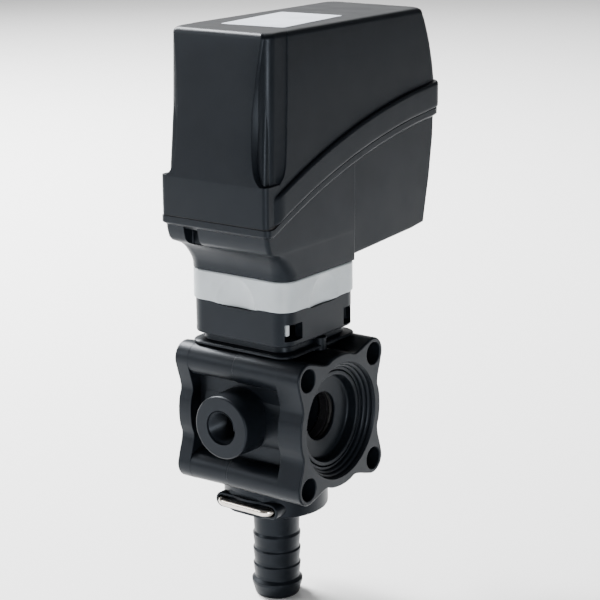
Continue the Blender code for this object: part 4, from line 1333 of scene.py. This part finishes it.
    def skirt(self) -> bpy.types.Object:
        """The proud band above the seam, rounded along its top and at its front ends."""
        outer = self.path(self.skirt_half, self.skirt_front, self.skirt_back, 5.8)
        inner = self.path(24.4, self.skirt_front, 80.0, 4.0)
        profile = soften([(0, 0, 0), (1, 0, 0.12), (1, 1, 0.42), (0, 1, 0)], steps=5)
        rings = []
        for i, ((xo, yo), (xi, yi)) in enumerate(zip(outer, inner)):
            travel = yo - self.skirt_front if i < 31 or i >= len(outer) - 31 else 99.0
            swell = 0.25 + 0.75 * math.sqrt(max(0.0, 1 - (1 - min(1.0, travel / 1.6)) ** 2))
            low, high = self.seam(yo) + 0.3, self.seam(yo) + self.skirt_height
            rings.append([(xi + (xo - xi) * u * swell, yi + (yo - yi) * u * swell,
                           low + (high - low) * self.rise(v)) for u, v in profile])
        return loft("skirt", rings)

    @staticmethod
    def rise(v: float) -> float:
        """Keeps the top fillet's height small next to the band's own height."""
        return v if v < 0.5 else 1 - (1 - v) * 0.32

    def housing(self) -> None:
        """Makes the lower housing: neck, front overhang, belly and the lip under the seam."""
        lean = ((59.1, 24.1, -24.1, 6.8), (59.4, 24.3, -24.3, 7.0), (61.5, 24.3, -24.5, 7.0),
                (63.5, 24.3, -25.2, 6.8),
                (65.5, 24.35, -26.3, 6.4), (67.5, 24.35, -27.5, 5.7), (69.0, 24.4, -28.7, 5.0),
                (70.2, 24.4, -30.2, 4.2),
                (71.0, 24.45, -31.9, 3.2), (71.7, 24.5, -33.5, 2.4), (73.1, 24.5, -34.7, 1.8),
                (76.0, 24.5, -35.5, 1.6),
                (79.3, 24.5, -36.1, 1.6), (88.0, 24.5, -36.4, 1.6), (104.0, 24.5, -36.4, 1.6))
        front = loft("lower", [[(x, y, z) for x, y in self.even(half, f, 21.3, r)] for z, half, f,
                               r in lean])
        belly = [(-21.0, 61.3, 0), (20.0, 61.3, 0), (63.0, 63.9, 6.0), (76.2, 65.5, 6.5),
                 (79.9, 80.0, 4.0), (84.0, 104.0, 4.0), (84.0, 118.0, 0), (-21.0, 118.0, 0)]
        outline = soften(belly, closed=True, steps=8)
        deep = prism(outline, -24.1, 24.1, "X", 1.0)
        lean_back = ((50, 71.2), (70, 75.3), (84, 78.4), (100, 80.8), (130, 82.0))
        walls = [[(x, y, z) for x, y in self.even(24.6, 20.6, back, 0.4, 5.6)] for z, back in lean_back]
        combine(deep, loft("walls", walls), "INTERSECT")
        join(front, deep, prism(square(24.3, 7.0), 59.2, 66.5))
        cut(front, self.above(-1.6), block((-15.4, -40, 70.6), (-8.6, -30.5, 79.3), 0.4))
        merge(front, self.lip())
        self.tools.hand_over(front, "lower_housing_skin", "housing", "black_plastic", ["lower_housing"])

    def even(self, half: float, front: float, back: float, corner: float,
             behind: float = 0.7) -> list[Point]:
        """A level outline whose front and back corners are rounded by different radii.

        Args:
            half: half width.
            front: its front Y.
            back: its back Y.
            corner: radius of the front corners.
            behind: radius of the back corners.

        Returns:
            The closed outline.
        """
        r, b = corner, behind
        return (arc((half - b, back - b), b, 0, 90, 4) + arc((-half + b, back - b), b, 90, 180, 4)
                + arc((-half + r, front + r), r, 180, 270, 14) + arc((half - r, front + r), r, 270, 360,
                                                                     14))

    def above(self, offset: float) -> bpy.types.Object:
        """Everything above the seam, moved by offset.

        Args:
            offset: how far above the seam it starts.

        Returns:
            The linked object.
        """
        ys = [-45.0, -32.0] + [-31.0 + 4.0 * k for k in range(31)]
        outline = [(y, self.seam(y) + offset) for y in ys] + [(95.0, 140.0), (-45.0, 140.0)]
        return prism(outline, -40, 40, "X")

    def lip(self) -> bpy.types.Object:
        """The proud lip of the lower housing just under the seam, all the way round."""
        points = self.loop(self.lip_half, -37.1, 82.0, 5.6)
        core = self.loop(22.6, -34.0, 78.4, 3.0)
        profile = soften([(0, 0, 0), (0.25, 0.0, 0.1), (1, 0.42, 0.15), (1, 1, 0.06), (0, 1, 0)], steps=4)
        rings = []
        for (xo, yo), (xi, yi) in zip(points, core):
            high = self.seam(yo) - 0.05
            low = high - 4.6
            rings.append([(xi + (xo - xi) * u, yi + (yo - yi) * u, low + (high - low) * v) for u,
                          v in profile])
        return loft("lip", rings, closed=True)

    def loop(self, half: float, front: float, back: float, corner: float) -> list[Point]:
        """A closed run round the head with points close enough to follow the seam.

        Args:
            half: half width.
            front: its front Y.
            back: its back Y.
            corner: radius of the back corners.

        Returns:
            The run.
        """
        side = [front + 4 + (66.0 - front) * k / 30 for k in range(31)]
        run = [(-half, y) for y in side] + arc((-half + corner, back - corner), corner, 180, 90, 10)
        run += arc((half - corner, back - corner), corner, 90, 0, 10) + [(half, y) for y in reversed(side)]
        return run + arc((half - 2.2, front + 2.2), 2.2, 0, -90, 6) + arc((-half + 2.2, front + 2.2), 2.2,
                                                                          -90, -180, 6)

    def gasket(self) -> None:
        """Makes the thin dark gasket that shows between cover and housing."""
        outer, inner = self.loop(25.3, -36.8, 81.3, 5.2), self.loop(22.8, -34.3, 78.6, 3.2)
        rings = []
        for (xo, yo), (xi, yi) in zip(outer, inner):
            low, high = self.seam(yo) - 0.3, self.seam(yo) + 0.6
            rings.append([(xi, yi, low), (xo, yo, low), (xo, yo, high), (xi, yi, high)])
        seal = loft("seal", rings, closed=True)
        self.tools.hand_over(seal, "gasket_skin", "housing", "rubber", ["housing_gasket"])

    def label(self) -> None:
        """Makes the blank label, stuck slightly askew on the cover's flat top."""
        turn = Matrix.Rotation(math.radians(5), 2)
        outline = [tuple(turn @ Vector(p) + Vector((1.2, 6.1))) for p in rounded(13.9, -21.8, 21.8, 1.2, 5)]
        plate = prism(outline, self.top - 0.1, self.top + 0.12, edge=0.04)
        self.tools.hand_over(plate, "label_skin", "housing", "label", ["label_plate"])

    def screws(self) -> None:
        """Makes the two cover screws, driven from below."""
        screw = turned(soften([(0, 73.0, 0), (2.6, 73.0, 0.3), (2.6, 75.5, 0.1), (1.5, 75.5, 0),
                               (1.5, 93.5, 0.4),
                               (0, 93.5, 0)]), steps=32, name="cover_screw_sample")
        cut(screw, prism(arc((0, 0), 1.3, 0, 300, 5), 72.0, 74.4))
        places = [(x, -30.0, 0) for x in (-19.2, 19.2)]
        pair = self.tools.pattern.copies("cover_screws", screw, places, "stainless")
        self.tools.hand_over(pair, "cover_screws", "housing", "stainless",
                             ["cover_screw_left", "cover_screw_right"])

    def build(self) -> None:
        """Makes the head's pieces."""
        self.housing()
        self.cover()
        self.gasket()
        self.label()
        self.screws()


# ---------------------------------------------------------------- studio
@dataclass(frozen=True)
class Lamp:
    """A square soft light aimed at the object; azimuth is from the front towards the right, in degrees."""

    name: str
    azimuth: float
    elevation: float
    distance: float
    side: float
    watts: float


@dataclass
class Studio:
    """Plain pale floor, soft lights and the camera."""

    azimuth: float = 36.353
    elevation: float = 15.24
    roll: float = -0.513
    place: tuple[float, float, float] = (0.42312, -0.5575, 0.23435)
    lens: float = 110.4
    floor: float = -0.0801
    reach: float = 9.0
    glow: float = 0.2
    aim: tuple[float, float, float] = (0.0, 0.02, 0.04)
    lamps: tuple[Lamp, ...] = (
        Lamp("key", -100, 40, 1.8, 0.8, 130.0), Lamp("front_left", -48, 18, 1.8, 0.7, 15.0),
        Lamp("edge_left", -102, 55, 1.8, 0.3, 36.0), Lamp("edge_right", 54, 1, 1.8, 0.4, 22.0),
        Lamp("behind_low", -143, 22, 2.0, 1.2, 2.8), Lamp("behind_high", -150, 45, 2.0, 1.0, 8.0))

    def camera(self) -> None:
        """Places the camera and makes it the scene's."""
        data = bpy.data.cameras.new("camera")
        data.lens, data.sensor_width = self.lens, 36.0
        data.clip_start, data.clip_end = 0.01, 50.0
        camera = bpy.data.objects.new("camera", data)
        bpy.context.scene.collection.objects.link(camera)
        a, e, r = (math.radians(v) for v in (self.azimuth, self.elevation, self.roll))
        back = Vector((math.sin(a) * math.cos(e), -math.cos(a) * math.cos(e), math.sin(e)))
        right = Vector((math.cos(a), math.sin(a), 0.0))
        up = back.cross(right)
        turned_right = right * math.cos(r) + up * math.sin(r)
        turned_up = up * math.cos(r) - right * math.sin(r)
        rows = Matrix((turned_right, turned_up, back)).transposed().to_4x4()
        camera.matrix_world = Matrix.Translation(self.place) @ rows
        bpy.context.scene.camera = camera

    def ground(self) -> None:
        """Lays the floor."""
        mesh = bpy.data.meshes.new("floor")
        r = self.reach
        mesh.from_pydata([(x, y, self.floor) for x, y in ((-r, -r), (r, -r), (r, r), (-r, r))],
                         [], [(0, 1, 2, 3)])
        floor = bpy.data.objects.new("floor", mesh)
        bpy.context.scene.collection.objects.link(floor)
        paint = bpy.data.materials.new("matt_white_floor")
        paint.use_nodes = True
        shader = paint.node_tree.nodes["Principled BSDF"]
        shader.inputs["Base Color"].default_value = linear("#F4F4F4")
        shader.inputs["Roughness"].default_value = 0.9
        shader.inputs["Specular IOR Level"].default_value = 0.1
        mesh.materials.append(paint)

    def light(self, lamp: Lamp) -> None:
        """Places one light.

        Args:
            lamp: its place, size and power.
        """
        data = bpy.data.lights.new(lamp.name, "AREA")
        data.shape, data.size, data.energy = "SQUARE", lamp.side, lamp.watts
        light = bpy.data.objects.new(lamp.name, data)
        bpy.context.scene.collection.objects.link(light)
        rise = math.radians(lamp.elevation)
        turn = Euler((0.0, 0.0, math.radians(lamp.azimuth))).to_matrix()
        away = turn @ Vector((0.0, -math.cos(rise), math.sin(rise)))
        place = Matrix.Translation(Vector(self.aim) + away * lamp.distance)
        light.matrix_world = place @ (-away).to_track_quat("-Z", "Y").to_matrix().to_4x4()

    def world(self) -> None:
        """Fills the surroundings with even pale light."""
        world = bpy.data.worlds.new("studio")
        world.use_nodes = True
        glow = world.node_tree.nodes["Background"]
        glow.inputs["Color"].default_value = linear("#FFFFFF")
        glow.inputs["Strength"].default_value = self.glow
        bpy.context.scene.world = world

    def build(self) -> None:
        """Sets up the whole studio."""
        self.camera()
        self.ground()
        self.world()
        for lamp in self.lamps:
            self.light(lamp)


def dress_frame(frame: dict, painter: Painter) -> None:
    """Gives every CAD node that still shows its procedural finish.

    Args:
        painter: the material maker.
    """
    slots = {entry["node"]: entry["material_slot"] for entry in frame["record"]["subparts"]}
    for name, node in frame["nodes"].items():
        if node.hide_render:
            continue
        node.data.materials.clear()
        node.data.materials.append(painter.material(slots[name]))
        LOG.info("%s: kept from the frame", name)


def main() -> None:
    """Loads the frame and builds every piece."""
    logging.basicConfig(level=logging.INFO, format="%(name)s %(message)s")
    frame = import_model()
    painter = Painter()
    tools = Assembly(painter, Pattern(painter))
    Studio().build()
    for assembly in (ValveBody(tools), HoseConnection(tools), Neck(tools), Head(tools)):
        LOG.info("building %s", type(assembly).__name__)
        assembly.build()
    dress_frame(frame, painter)


if __name__ == "__main__":
    main()
